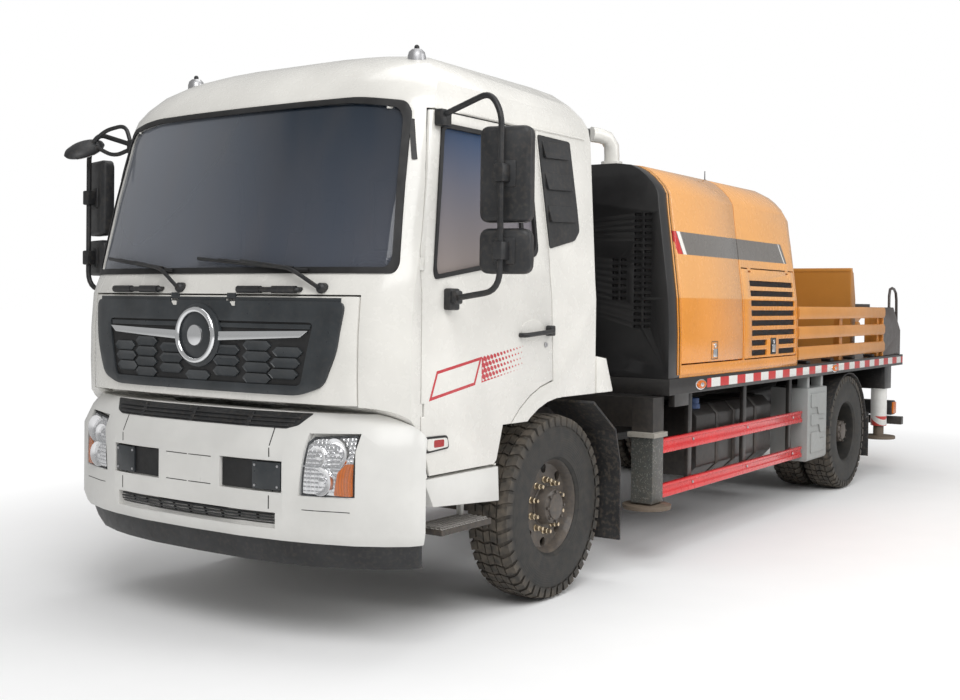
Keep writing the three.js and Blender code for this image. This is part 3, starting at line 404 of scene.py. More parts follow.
@dataclass(frozen=True)
class TapePaint(Paint):
    """Black deck edge with red and white reflecting tape along its sides and rear."""

    low: float = 1.079
    high: float = 1.140
    length: float = 0.150

    def tint(self, graph: Graph, colour: Value) -> Value:
        """Returns the edge's colour with tape on its outer faces.

        Args:
            graph: The material's node tree.
            colour: The paint's own colour.

        Returns:
            The colour with its tape.
        """
        along = (graph.x % (2 * self.length)) / (2 * self.length)
        outside = graph.y.absolute() > 1.1985
        cell = ((graph.x % 0.012) > 0.0012) * (((graph.z + graph.x) % 0.012) > 0.0012)
        red = graph.mix(cell, srgb(150, 26, 30), srgb(200, 44, 44))
        white = graph.mix(cell, srgb(190, 190, 188), srgb(228, 228, 224))
        tape = graph.mix(along > 0.5, red, white)
        shown = graph.z.within(self.low, self.high) * outside * ((graph.x - AXLE) < -1.80)
        return graph.mix(shown, colour, tape)


@dataclass(frozen=True)
class JackPaint(Paint):
    """White jack paint with red warning bands on its lower part and a black arm above it."""

    band: Colour = srgb(196, 44, 40)
    low: float = 0.470
    top: float = 0.565
    arm: float = 0.838

    def tint(self, graph: Graph, colour: Value) -> Value:
        """Returns the paint with slanted red bands and the black arm.

        Args:
            graph: The material's node tree.
            colour: The paint's own colour.

        Returns:
            The colour with its bands.
        """
        slanted = (graph.z + graph.y * 0.6 + graph.x * 0.4) % 0.11
        colour = graph.mix((slanted < 0.055) * (graph.z < self.top), colour, self.band)
        return graph.mix(graph.z > self.arm, colour, BLACK_TONE)


@dataclass(frozen=True)
class ColumnPaint(Paint):
    """Speckled jack column with a worn bright flange and a black arm above it."""

    flange: Colour = srgb(150, 146, 138)
    fleck: Colour = srgb(120, 122, 116)
    flange_low: float = 0.798
    flange_high: float = 0.833

    def tint(self, graph: Graph, colour: Value) -> Value:
        """Returns the column's colour with flecks, flange and arm.

        Args:
            graph: The material's node tree.
            colour: The paint's own colour.

        Returns:
            The colour with its flecks.
        """
        flecks = (graph.noise(85.0, 3.0) > 0.60) * 0.7
        colour = graph.mix(flecks, colour, self.fleck)
        colour = graph.mix(graph.z.within(self.flange_low, self.flange_high), colour, self.flange)
        return graph.mix(graph.z > self.flange_high, colour, BLACK_TONE)


@dataclass(frozen=True)
class RailPaint(Paint):
    """Deck rail paint, dark on the end posts and their hand rails."""

    post: Colour = srgb(52, 42, 38)
    post_front: float = -5.972

    def tint(self, graph: Graph, colour: Value) -> Value:
        """Returns the rails' colour with the dark end posts."""
        return graph.mix(graph.x < AXLE + self.post_front, colour, self.post)


@dataclass(frozen=True)
class MeshSheet(Finish):
    """Dark expanded-metal sheet with diamond openings."""

    colour: Colour = srgb(22, 22, 24)
    pitch: float = 0.016
    wire: float = 0.36

    def build(self, graph: Graph) -> None:
        """Builds a sheet that is open between its strands.

        Args:
            graph: The material's node tree.
        """
        rising = (((graph.x + graph.z * 1.6) % self.pitch) / self.pitch - 0.5).absolute() > self.wire
        falling = (((graph.x - graph.z * 1.6) % self.pitch) / self.pitch - 0.5).absolute() > self.wire
        strand = (rising + falling) > 0.5
        graph.drive(
            Base_Color=graph.mix(graph.noise(30.0), self.colour, tuple(c * 2.2 + 0.01 for c in self.colour)),
            Roughness=graph.noise(50.0) * 0.2 + 0.45,
            Alpha=strand,
        )


@dataclass(frozen=True)
class Plastic(Finish):
    """Moulded plastic with a fine grain and a little dust."""

    colour: Colour
    gloss: float = 0.5
    grain: float = 900.0
    depth: float = 0.0003
    dust: float = 0.12

    def build(self, graph: Graph) -> None:
        """Builds grained plastic.

        Args:
            graph: The material's node tree.
        """
        speckle = graph.noise(46.0, 5.0).ramp(0.48, 0.75) * self.dust
        worn = tuple(c * 1.5 + 0.01 for c in self.colour)
        colour = graph.mix(graph.noise(6.0).ramp(0.3, 0.75), self.colour, worn)
        graph.drive(
            Base_Color=graph.mix(speckle, colour, DUST),
            Roughness=graph.noise(22.0).ramp(0.2, 0.8) * 0.14 + speckle * 0.4 + (self.gloss - 0.05),
            Normal=graph.bump(graph.noise(self.grain, 1.0), self.depth, 0.5),
        )


@dataclass(frozen=True)
class Rubber(Finish):
    """Tyre rubber: dark sides with moulded rings, and a dusty tread."""

    colour: Colour = srgb(38, 38, 37)
    dusty: Colour = srgb(98, 90, 80)
    tread_start: float = 0.462

    def build(self, graph: Graph) -> None:
        """Builds rubber whose dust grows towards the tread of any wheel at this height.

        Args:
            graph: The material's node tree.
        """
        front = (graph.x - AXLE).absolute()
        rear = (graph.x - (AXLE - 5.0)).absolute()
        along = graph.node("ShaderNodeMath", {"operation": "MINIMUM"}, {0: front, 1: rear})
        up = graph.z - WHEEL_HEIGHT
        radius = (along * along + up * up).power(0.5)
        tread = radius.ramp(self.tread_start - 0.03, self.tread_start + 0.04)
        mud = graph.noise(19.0, 6.0).ramp(0.36, 0.70)
        share = tread * (0.25 + mud * 0.60) + mud * 0.20
        rings = ((radius % 0.0125) / 0.0125 - 0.5).absolute().ramp(0.1, 0.4) * (1.0 - tread)
        height = rings * 0.6 + graph.noise(420.0, 2.0) * 0.4
        graph.drive(
            Base_Color=graph.mix(share, self.colour, self.dusty),
            Roughness=share * 0.25 + graph.noise(31.0) * 0.12 + 0.56,
            Normal=graph.bump(height, 0.0010, 0.55),
        )


@dataclass(frozen=True)
class Metal(Finish):
    """Bare or plated metal with fine directional scratches and stains."""

    colour: Colour
    gloss: float = 0.25
    stain: float = 0.2
    stretch: Colour = (1.0, 1.0, 14.0)

    def build(self, graph: Graph) -> None:
        """Builds metal whose stains are rougher and darker.

        Args:
            graph: The material's node tree.
        """
        scratch = graph.noise(70.0, 3.0, self.stretch)
        stain = graph.noise(14.0, 5.0).ramp(0.46, 0.74) * self.stain
        dull = tuple(c * 0.55 for c in self.colour)
        graph.drive(
            Base_Color=graph.mix(stain, self.colour, dull),
            Metallic=1.0 - stain * 0.6,
            Roughness=scratch.ramp(0.3, 0.7) * 0.12 + stain * 0.4 + (self.gloss - 0.04),
            Normal=graph.bump(scratch, 0.0002, 0.35),
        )


@dataclass(frozen=True)
class Glazing(Finish):
    """Tinted glass with a painted reflection in its colour: paler low down, darker towards its top edge and,
    where asked, paler towards the truck's right side.
    """

    # glass tint with a painted reflection: paler low down, darker at the top
    tint_and_painted_reflection_low: Colour
    tint_and_painted_reflection_high: Colour
    low: float
    high: float
    solid: float = 0.72
    solid_top: float = 0.9
    # painted reflection: paler colour towards the truck's right side
    painted_reflection_colour: Colour = srgb(150, 154, 162)
    painted_reflection_share: float = 0.0

    def build(self, graph: Graph) -> None:
        """Builds glass whose painted reflection darkens towards the top, with faint wipe marks.

        Args:
            graph: The material's node tree.
        """
        height = graph.z.ramp(self.low, self.high)
        film = graph.noise(5.0, 4.0, (1.0, 1.0, 0.3)).ramp(0.40, 0.75)
        # painted reflection: the colour follows height
        colour = graph.mix(height, self.tint_and_painted_reflection_low, self.tint_and_painted_reflection_high)
        if self.painted_reflection_share > 0.0:
            # painted reflection: the glass turns paler towards negative y, the truck's right side
            side = (graph.y * -1.0).ramp(-0.35, 1.05) * self.painted_reflection_share
            colour = graph.mix(side, colour, self.painted_reflection_colour)
        graph.drive(
            Base_Color=graph.mix(film * 0.10, colour, DUST),
            Roughness=film * 0.03 + 0.015,
            Alpha=height * (self.solid_top - self.solid) + self.solid,
            IOR=1.5,
        )


@dataclass(frozen=True)
class Lens(Finish):
    """Moulded lamp lens with fine flutes."""

    colour: Colour
    solid: float = 0.35
    flute: float = 0.008
    glow: float = 0.0

    def build(self, graph: Graph) -> None:
        """Builds a glossy lens with upright flutes.

        Args:
            graph: The material's node tree.
        """
        flutes = (((graph.y + graph.x) % self.flute) / self.flute - 0.5).absolute()
        deep = tuple(c * 0.7 for c in self.colour)
        graph.drive(
            Base_Color=graph.mix(flutes.ramp(0.1, 0.5), deep, self.colour),
            Roughness=graph.noise(30.0) * 0.04 + 0.03,
            Alpha=flutes * 0.15 + self.solid,
            Normal=graph.bump(flutes, 0.0009, 0.35),
        )


@dataclass(frozen=True)
class Upholstery(Finish):
    """Woven seat cloth with a fine over-and-under weave."""

    colour: Colour
    thread: float = 0.0045

    def build(self, graph: Graph) -> None:
        """Builds a weave on the seat's own place.

        Args:
            graph: The material's node tree.
        """
        across = ((graph.y % self.thread) / self.thread - 0.5).absolute()
        along = (((graph.x + graph.z) % self.thread) / self.thread - 0.5).absolute()
        weave = across + along
        pale = tuple(min(1.0, c * 1.5 + 0.02) for c in self.colour)
        graph.drive(
            Base_Color=graph.mix(weave.ramp(0.2, 0.8) * graph.noise(60.0), self.colour, pale),
            Roughness=graph.noise(90.0) * 0.1 + 0.82,
            Normal=graph.bump(weave, 0.0008, 0.6),
            Sheen_Weight=0.3,
        )


@dataclass(frozen=True)
class FloorFinish(Finish):
    """Plain pale floor that keeps the object's shadow and turns white away from it."""

    near: float = 4.6
    far: float = 8.0

    def build(self, graph: Graph) -> None:
        """Builds a matt floor whose outer part is seen as plain white.

        Args:
            graph: The material's node tree.
        """
        grain = graph.noise(3.0, 2.0)
        across = graph.y * 1.7
        distance = (graph.x * graph.x + across * across).power(0.5)
        path = graph.tree.nodes.new("ShaderNodeLightPath")
        seen = Value(graph, path.outputs["Is Camera Ray"])
        away = distance.ramp(self.near, self.far) * seen
        base = graph.mix(grain, (0.92, 0.92, 0.92), (0.95, 0.95, 0.95))
        graph.drive(
            Base_Color=graph.mix(away, base, (0.0, 0.0, 0.0)),
            Roughness=0.9,
            Specular_IOR_Level=0.1,
            Emission_Color=graph.mix(away, (0.0, 0.0, 0.0), (1.0, 1.0, 1.0)),
            Emission_Strength=1.0,
        )


CAB_WHITE = srgb(224, 222, 216)
ORANGE = srgb(224, 144, 44)


class F:
    """The finishes of this truck."""

    CAB = Paint("cab paint", "cab_paint", CAB_WHITE, 0.24, 0.4, 0.13, 0.9, 0.0)
    DOOR = DoorPaint("door paint", "cab_paint", CAB_WHITE, 0.24, 0.4, 0.13, 0.9, 0.0)
    BUMPER = Paint("bumper paint", "cab_paint", srgb(218, 217, 213), 0.34, 0.18, 0.10, 1.0, 0.0)
    HOOD = HoodPaint("hood paint", "yellow_paint", ORANGE, 0.24, 0.55, 0.15, 1.3, 0.0)
    RAIL = RailPaint("rail paint", "yellow_paint", srgb(204, 136, 56), 0.34, 0.3, 0.35, 1.6, 0.08)
    SPLASH = Paint("splash guard paint", "yellow_paint", srgb(196, 132, 54), 0.36, 0.2, 0.5, 1.8, 0.5)
    HOPPER = Paint("hopper paint", "yellow_paint", srgb(206, 136, 52), 0.42, 0.15, 0.9, 1.9, 0.8)
    BLACK = Paint("black frame paint", "black_paint", BLACK_TONE, 0.36, 0.25, 0.28, 1.2, 0.2)
    DECK = TapePaint("deck edge paint", "black_paint", BLACK_TONE, 0.4, 0.2, 0.3, 1.3, 0.2)
    CHASSIS = Paint("chassis paint", "dark_steel", srgb(33, 33, 35), 0.48, 0.1, 0.6, 1.1, 0.4)
    WHEEL = Paint("wheel paint", "dark_steel", srgb(58, 56, 56), 0.42, 0.2, 0.7, 1.3, 0.5)
    RED = Paint("guard paint", "red_paint", srgb(212, 34, 38), 0.25, 0.5, 0.07, 0.9, 0.05)
    GREY = Paint("grey paint", "grey_paint", srgb(150, 153, 152), 0.4, 0.2, 0.4, 1.1, 0.2)
    ENGINE = Paint("engine paint", "grey_paint", srgb(92, 96, 98), 0.5, 0.1, 0.5, 1.4, 0.5)
    COLUMN = ColumnPaint("jack column paint", "black_paint", srgb(56, 62, 62), 0.42, 0.2, 0.5, 1.2, 0.5)
    FOOT = Paint("foot steel", "dark_steel", srgb(96, 84, 72), 0.55, 0.0, 0.5, 1.0, 0.9)
    BLUE_CAP = Plastic("blue cap", "black_plastic", srgb(36, 62, 104), 0.40, 600.0)
    MESH = MeshSheet("louvre mesh", "black_plastic")
    CLEAR_GLASS = Lens("lamp glass", "glass", srgb(196, 200, 204), 0.80, 0.010)
    JACK_WHITE = JackPaint("jack paint", "cab_paint", srgb(226, 226, 222), 0.3, 0.4, 0.4, 1.0, 0.2)
    PLASTIC = Plastic("black plastic", "black_plastic", srgb(23, 24, 26), 0.46)
    MUDGUARD = Plastic("mudguard plastic", "black_plastic", srgb(26, 26, 27), 0.58, 500.0, 0.0006, 0.35)
    GRILLE = Plastic("grille plastic", "black_plastic", srgb(38, 42, 45), 0.30, 1200.0, 0.0001, 0.05)
    TRIM = Plastic("cab trim", "trim", srgb(66, 66, 70), 0.62)
    RUBBER_TRIM = Plastic("rubber seal", "black_plastic", srgb(13, 13, 14), 0.60, 700.0, 0.0002, 0.03)
    TYRE = Rubber("tyre rubber", "tyre")
    CHROME = Metal("chrome", "steel", (0.82, 0.83, 0.84), 0.08, 0.05)
    STEEL = Metal("bare steel", "steel", (0.50, 0.50, 0.51), 0.34, 0.5)
    BRASS = Metal("passivated nuts", "steel", (0.74, 0.62, 0.44), 0.28, 0.5)
    MIRROR = Metal("mirror glass", "glass", (0.86, 0.88, 0.90), 0.05, 0.02)
    TREADPLATE = Metal("step plate", "steel", (0.42, 0.40, 0.38), 0.42, 0.7)
    # the windshield carries a painted reflection, paler low down and towards the truck's right side
    WINDSHIELD = Glazing("windshield glass", "glass", srgb(84, 90, 102), srgb(40, 50, 62), 1.80, 2.58, 0.62,
                         0.82, painted_reflection_share=0.8)
    SIDE_GLASS = Glazing("side glass", "glass", srgb(150, 140, 136), srgb(30, 66, 104), 1.80, 2.50, 0.80,
                         0.93)
    CLEAR_LENS = Lens("clear lens", "glass", srgb(150, 154, 158), 0.05, 0.030)
    AMBER_LENS = Lens("amber lens", "glass", srgb(238, 124, 22), 0.80)
    RED_LENS = Lens("red lens", "glass", srgb(180, 20, 22), 0.85)
    REFLECTOR = Metal("lamp reflector", "steel", (0.90, 0.90, 0.91), 0.12, 0.03)
    SEAT = Upholstery("seat cloth", "trim", srgb(120, 120, 124))
    FLOOR = FloorFinish("floor", "")


# ------------------------------------------------------------------ modelling
def deselect() -> None:
    """Deselects every object."""
    for other in bpy.context.selected_objects:
        other.select_set(False)


class Piece:
    """One modelled piece, shaped step by step and then dressed."""

    def __init__(self, obj: bpy.types.Object) -> None:
        """Wraps a mesh object."""
        self.obj = obj

    # ---- starts
    @classmethod
    def active(cls, name: str) -> Piece:
        """Returns the newly added primitive under a name, with its place in its mesh.

        Args:
            name: The piece's name.

        Returns:
            The piece.
        """
        obj = bpy.context.object
        obj.name = name
        bpy.ops.object.transform_apply(location=True, rotation=True, scale=True)
        return cls(obj)

    @classmethod
    def block(cls, name: str, low: Sequence[float], high: Sequence[float]) -> Piece:
        """Returns a box between two corners.

        Args:
            name: The piece's name.
            low: Lowest corner.
            high: Highest corner.

        Returns:
            The box.
        """
        deselect()
        middle = [(a + b) / 2 for a, b in zip(low, high)]
        size = [b - a for a, b in zip(low, high)]
        bpy.ops.mesh.primitive_cube_add(size=1, location=middle, scale=size)
        return cls.active(name)

    @classmethod
    def slab(cls, name: str, outline: Sequence[Point], axis: Axis, low: float, high: float) -> Piece:
        """Returns an outline drawn across an axis and extruded along it.

        Args:
            name: The piece's name.
            outline: Corners in order.
            axis: The axis it is drawn across.
            low: Where the extrusion starts.
            high: Where it ends.

        Returns:
            The slab.
        """
        deselect()
        bpy.ops.mesh.primitive_circle_add(vertices=len(outline), fill_type="NGON")
        obj = bpy.context.object
        for vertex, (a, b) in zip(obj.data.vertices, outline):
            vertex.co = axis.lift(a, b, low)
        bpy.ops.object.mode_set(mode="EDIT")
        bpy.ops.mesh.select_all(action="SELECT")
        move = axis.lift(0, 0, high - low)
        bpy.ops.mesh.extrude_region_move(TRANSFORM_OT_translate={"value": move})
        bpy.ops.mesh.select_all(action="SELECT")
        bpy.ops.mesh.normals_make_consistent(inside=False)
        bpy.ops.object.mode_set(mode="OBJECT")
        return cls.active(name)

    @classmethod
    def turned(cls, name: str, profile: Sequence[Point], axis: Axis, centre: Vector,
               steps: int = 32) -> Piece:
        """Returns a closed profile spun round an axis.

        Args:
            name: The piece's name.
            profile: Closed loop of (radius, place along the axis).
            axis: The axis it turns round.
            centre: A point on that axis.
            steps: Facets in a full turn.

        Returns:
            The turned piece.
        """
        deselect()
        bpy.ops.mesh.primitive_circle_add(vertices=len(profile), fill_type="NOTHING")
        obj = bpy.context.object
        direction = axis.lift(0, 0, 1)
        side = Vector((0, 0, 1)) if axis is not Axis.Z else Vector((1, 0, 0))
        for vertex, (radius, along) in zip(obj.data.vertices, profile):
            vertex.co = centre + side * radius + direction * along
        bpy.ops.object.mode_set(mode="EDIT")
        bpy.ops.mesh.select_all(action="SELECT")
        bpy.ops.mesh.spin(steps=steps, angle=2 * math.pi, center=centre, axis=direction)
        bpy.ops.mesh.select_all(action="SELECT")
        bpy.ops.mesh.remove_doubles(threshold=1e-5)
        bpy.ops.mesh.normals_make_consistent(inside=False)
        bpy.ops.object.mode_set(mode="OBJECT")
        return cls.active(name)

    @classmethod
    def tube(cls, name: str, path: Sequence[Vector], radius: float, bend: float = 0.05,
             sides: int = 4) -> Piece:
        """Returns a round bar that follows a path with rounded corners.

        Args:
            name: The piece's name.
            path: Its corners in order.
            radius: The bar's radius.
            bend: Reach of each rounded corner.
            sides: Fineness of the round section.

        Returns:
            The bar.
        """
        deselect()
        curve = bpy.data.curves.new(name, "CURVE")
        curve.dimensions = "3D"
        curve.bevel_depth = radius
        curve.bevel_resolution = sides
        curve.use_fill_caps = True
        points: list[Vector] = []
        for i, here in enumerate(path):
            if i in (0, len(path) - 1):
                points.append(Vector(here))
                continue
            back, on = Vector(path[i - 1]) - here, Vector(path[i + 1]) - here
            reach = min(bend, back.length * 0.48, on.length * 0.48)
            start, end = here + back.normalized() * reach, here + on.normalized() * reach
            for k in range(7):
                t = k / 6
                points.append(start * (1 - t) ** 2 + here * (2 * t * (1 - t)) + end * t**2)
        spline = curve.splines.new("POLY")
        spline.points.add(len(points) - 1)
        for target, point in zip(spline.points, points):
            target.co = (*point, 1.0)
        obj = bpy.data.objects.new(name, curve)
        bpy.context.collection.objects.link(obj)
        obj.select_set(True)
        bpy.context.view_layer.objects.active = obj
        bpy.ops.object.convert(target="MESH")
        bpy.ops.object.mode_set(mode="EDIT")
        bpy.ops.mesh.select_all(action="SELECT")
        bpy.ops.mesh.remove_doubles(threshold=1e-5)
        bpy.ops.mesh.normals_make_consistent(inside=False)
        bpy.ops.object.mode_set(mode="OBJECT")
        return cls.active(name)

    @classmethod
    def cad(cls, node: str, suffix: str = "skin") -> Piece:
        """Returns a merged copy of a CAD node, with its flat facets joined.

        Args:
            node: The CAD node's name.
            suffix: What is put after the node's name.

        Returns:
            The copy.
        """
        deselect()
        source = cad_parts[node]
        obj = bpy.data.objects.new(f"{node}_{suffix}", source.data.copy())
        bpy.context.collection.objects.link(obj)
        obj.data.materials.clear()
        obj.select_set(True)
        bpy.context.view_layer.objects.active = obj
        bpy.ops.object.mode_set(mode="EDIT")
        bpy.ops.mesh.select_all(action="SELECT")
        bpy.ops.mesh.remove_doubles(threshold=2e-5)
        bpy.ops.mesh.customdata_custom_splitnormals_clear()
        bpy.ops.mesh.dissolve_limited(angle_limit=math.radians(1.2))
        bpy.ops.object.mode_set(mode="OBJECT")
        return cls(obj)

    # ---- shaping
    def _pick(self) -> None:
        """Makes this the only selected and the active object."""
        deselect()
        self.obj.select_set(True)
        bpy.context.view_layer.objects.active = self.obj

    def modify(self, kind: str, **settings: object) -> Piece:
        """Adds a modifier and applies it.

        Args:
            kind: The modifier's type.
            **settings: Its settings.

        Returns:
            This piece.
        """
        self._pick()
        added = self.obj.modifiers.new(kind.lower(), kind)
        for name, setting in settings.items():
            setattr(added, name, setting)
        bpy.ops.object.modifier_apply(modifier=added.name)
        return self

    def bevel(self, width: float, segments: int = 2, angle: float = 30.0) -> Piece:
        """Rounds the edges sharper than an angle."""
        return self.modify("BEVEL", width=width, segments=segments, limit_method="ANGLE",
                           angle_limit=math.radians(angle), harden_normals=False, use_clamp_overlap=True)

    def edit(self, chosen: Callable[[bmesh.types.BMFace], bool], act: Callable[[], object]) -> Piece:
        """Selects faces by a test and runs an edit-mode operator on them.

        Args:
            chosen: Tells whether a face is selected.
            act: Runs the operator.

        Returns:
            This piece.
        """
        self._pick()
        bpy.ops.object.mode_set(mode="EDIT")
        bpy.ops.mesh.select_mode(type="FACE")
        bpy.ops.mesh.select_all(action="DESELECT")
        mesh = bmesh.from_edit_mesh(self.obj.data)
        for face in mesh.faces:
            face.select_set(chosen(face))
        bmesh.update_edit_mesh(self.obj.data)
        act()
        bpy.ops.object.mode_set(mode="OBJECT")
        return self

    def cut(self, tool: Piece) -> Piece:
        """Takes a tool's space away, and the tool with it.

        Args:
            tool: The piece that is taken away.

        Returns:
            This piece.
        """
        self.modify("BOOLEAN", operation="DIFFERENCE", object=tool.obj, solver="EXACT")
        bpy.data.objects.remove(tool.obj)
        return self

    def add(self, *others: Piece) -> Piece:
        """Joins other pieces to this one.

        Args:
            *others: The pieces that join it.

        Returns:
            This piece.
        """
        self._pick()
        for other in others:
            other.obj.select_set(True)
        bpy.ops.object.join()
        return self

    def shift(self, matrix: Matrix) -> Piece:
        """Moves the mesh by a matrix, and keeps its faces outward when it mirrors.

        Args:
            matrix: The move.

        Returns:
            This piece.
        """
        self.obj.data.transform(matrix)
        if matrix.determinant() < 0:
            self.obj.data.flip_normals()
        return self

    def copy(self, name: str, matrix: Matrix) -> Piece:
        """Returns a moved copy with its own mesh.

        Args:
            name: The copy's name.
            matrix: The copy's move.

        Returns:
            The copy.
        """
        obj = self.obj.copy()
        obj.data = self.obj.data.copy()
        obj.name = name
        bpy.context.collection.objects.link(obj)
        return Piece(obj).shift(matrix)

    def row(self, count: int, step: Vector) -> Piece:
        """Repeats the piece in a row, joined."""
        copies = [self.copy(self.obj.name + "_next", Matrix.Translation(step * i)) for i in range(1, count)]
        return self.add(*copies)

    def ring(self, count: int, axis: Axis, centre: Vector) -> Piece:
        """Repeats the piece round an axis, joined.

        Args:
            count: How many there are in all.
            axis: The axis they stand round.
            centre: A point on that axis.

        Returns:
            This piece.
        """
        copies = []
        for i in range(1, count):
            turn = Matrix.Rotation(2 * math.pi * i / count, 4, axis.lift(0, 0, 1))
            around = Matrix.Translation(centre) @ turn @ Matrix.Translation(-centre)
            copies.append(self.copy(self.obj.name + "_next", around))
        return self.add(*copies)

    def other_side(self, name: str) -> Piece:
        """Returns a copy mirrored to the truck's other side."""
        return self.copy(name, Matrix.Scale(-1, 4, (0, 1, 0)))

    def dress_pair(self, finish: Finish, body: str) -> None:
        """Dresses the piece and its mirror image, whose names take right for left.

        Args:
            finish: Its finish.
            body: The body it moves with.
        """
        other = self.other_side(self.obj.name.replace("left", "right"))
        other.dress(finish, body.replace("left", "right"))
        self.dress(finish, body)

    def smooth(self, angle: float = 35.0) -> Piece:
        """Shades smoothly across edges flatter than an angle.

        Args:
            angle: Edges flatter than this, in degrees, are smooth.

        Returns:
            This piece.
        """
        self._pick()
        bpy.ops.object.shade_smooth_by_angle(angle=math.radians(angle))
        return self

    # ---- dressing
    def dress(self, finish: Finish, body: str, replaces: Sequence[str] = (), angle: float = 35.0) -> Piece:
        """Finishes the piece: smooth shading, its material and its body.

        Args:
            finish: Its finish.
            body: The body it moves with.
            replaces: CAD nodes that it stands for.
            angle: Edges flatter than this, in degrees, are smooth.

        Returns:
            This piece.
        """
        self.smooth(angle)
        self.obj.data.materials.clear()
        self.obj.data.materials.append(finish.material())
        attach(self.obj, body)
        if replaces:
            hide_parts(*replaces)
        LOG.info("%-34s %6d faces on %s", self.obj.name, len(self.obj.data.polygons), body)
        return self


class Skin:
    """The outer surface of some CAD nodes, which trim and glass follow."""

    def __init__(self, *nodes: str) -> None:
        """Builds a search tree over the nodes' faces.

        Args:
            *nodes: The CAD nodes' names.
        """
        points: list[Vector] = []
        faces: list[tuple[int, ...]] = []
        for node in nodes:
            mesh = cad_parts[node].data
            start = len(points)
            points += [v.co.copy() for v in mesh.vertices]
            faces += [tuple(start + i for i in p.vertices) for p in mesh.polygons]
        self.tree = BVHTree.FromPolygons(points, faces)

    def depth(self, axis: Axis, a: float, b: float, start: float = 6.0) -> float | None:
        """Returns where a line along an axis, from far out towards the middle, meets the skin.

        Args:
            axis: The axis the line runs along.
            a: The line's first coordinate.
            b: Its second coordinate.
            start: Where it starts; its sign gives the side.

        Returns:
            The place along the axis, or None where the line misses.
        """
        origin = axis.lift(a, b, start)
        direction = axis.lift(0, 0, -1 if start > 0 else 1)
        hit = self.tree.ray_cast(origin, direction)[0]
        if hit is None:
            return None
        return hit[axis.value]


def conform(piece: Piece, axis: Axis, depth: Surface, base: float) -> Piece:
    """Bends a piece drawn at a base depth so that it follows a surface.

    Args:
        piece: The piece, finely divided across the surface.
        axis: The axis it was drawn across.
        depth: Gives the surface's depth at (a, b).
        base: The depth that lies on the surface.

    Returns:
        The bent piece.
    """
    pair = [i for i in range(3) if i != axis.value]
    for vertex in piece.obj.data.vertices:
        here = vertex.co
        here[axis.value] += depth(here[pair[0]], here[pair[1]]) - base
    return piece


def mesh_grid(piece: Piece, axis: Axis, step: float) -> Piece:
    """Divides a piece by planes across its two drawn directions.

    Args:
        piece: The piece that is divided.
        axis: The axis that the outline is drawn across.
        step: Spacing of the planes.

    Returns:
        The divided piece.
    """
    piece._pick()
    box = [Vector(c) for c in piece.obj.bound_box]
    bpy.ops.object.mode_set(mode="EDIT")
    for i in range(3):
        if i == axis.value:
            continue
        low, high = min(c[i] for c in box), max(c[i] for c in box)
        count = max(1, round((high - low) / step))
        normal = [1.0 if k == i else 0.0 for k in range(3)]
        for k in range(1, count):
            place = [0.0, 0.0, 0.0]
            place[i] = low + (high - low) * k / count
            bpy.ops.mesh.select_all(action="SELECT")
            bpy.ops.mesh.bisect(plane_co=place, plane_no=normal)
    bpy.ops.object.mode_set(mode="OBJECT")
    return piece


@dataclass(frozen=True)
class Quadratic:
    """A smooth surface through sampled points: depth as a quadratic of (a, b)."""

    terms: tuple[float, ...]

    @staticmethod
    def basis(a: float, b: float) -> list[float]:
        """Returns the six terms at (a, b)."""
        return [1.0, a, b, a * a, a * b, b * b]

    @classmethod
    def through(cls, samples: Sequence[tuple[float, float, float]]) -> Quadratic:
        """Returns the least-squares fit through (a, b, depth) samples.

        Args:
            samples: Points on the surface.

        Returns:
            The fitted surface.
        """
        size = 6
        rows = [[0.0] * (size + 1) for _ in range(size)]
        for a, b, depth in samples:
            terms = cls.basis(a, b)
            for i in range(size):
                for k in range(size):
                    rows[i][k] += terms[i] * terms[k]
                rows[i][size] += terms[i] * depth
        for i in range(size):
            pivot = max(range(i, size), key=lambda r: abs(rows[r][i]))
            rows[i], rows[pivot] = rows[pivot], rows[i]
            rows[i] = [v / rows[i][i] for v in rows[i]]
            for k in range(size):
                if k != i:
                    rows[k] = [v - w * rows[k][i] for v, w in zip(rows[k], rows[i])]
        return cls(tuple(row[size] for row in rows))

    def __call__(self, a: float, b: float) -> float:
        """Returns the depth at (a, b)."""
        return sum(t * v for t, v in zip(self.terms, self.basis(a, b)))


def follow(skin: Skin, axis: Axis, start: float = 6.0) -> Surface:
    """Returns a depth function over a skin that keeps its last depth where it misses.

    Args:
        skin: The skin that it lies on.
        axis: The axis it is seen along.
        start: Where the lines start.

    Returns:
        The depth function.
    """
    last = [0.0]

    def depth(a: float, b: float) -> float:
        """Returns the depth at (a, b).

        Args:
            a: First coordinate.
            b: Second coordinate.

        Returns:
            The depth, or the last one found where the skin is missed.
        """
        found = skin.depth(axis, a, b, start)
        if found is not None:
            last[0] = found
        return last[0]

    return depth


def fitted(skin: Skin, axis: Axis, around: Sequence[Point], grow: float) -> Quadratic:
    """Returns a smooth surface through the skin just outside an outline.

    Args:
        skin: The skin that is sampled.
        axis: The axis it is seen along.
        around: The outline, such as that of a window.
        grow: How far outside the outline the samples lie.

    Returns:
        The fitted surface.
    """
    centre = Vector((sum(p[0] for p in around), sum(p[1] for p in around))) / len(around)
    samples = []
    for i, corner in enumerate(around):
        here, after = Vector(corner), Vector(around[(i + 1) % len(around)])
        for k in range(6):
            spot = here.lerp(after, k / 6)
            spot += (spot - centre).normalized() * grow
            depth = skin.depth(axis, spot.x, spot.y)
            if depth is not None:
                samples.append((spot.x, spot.y, depth))
    return Quadratic.through(samples)


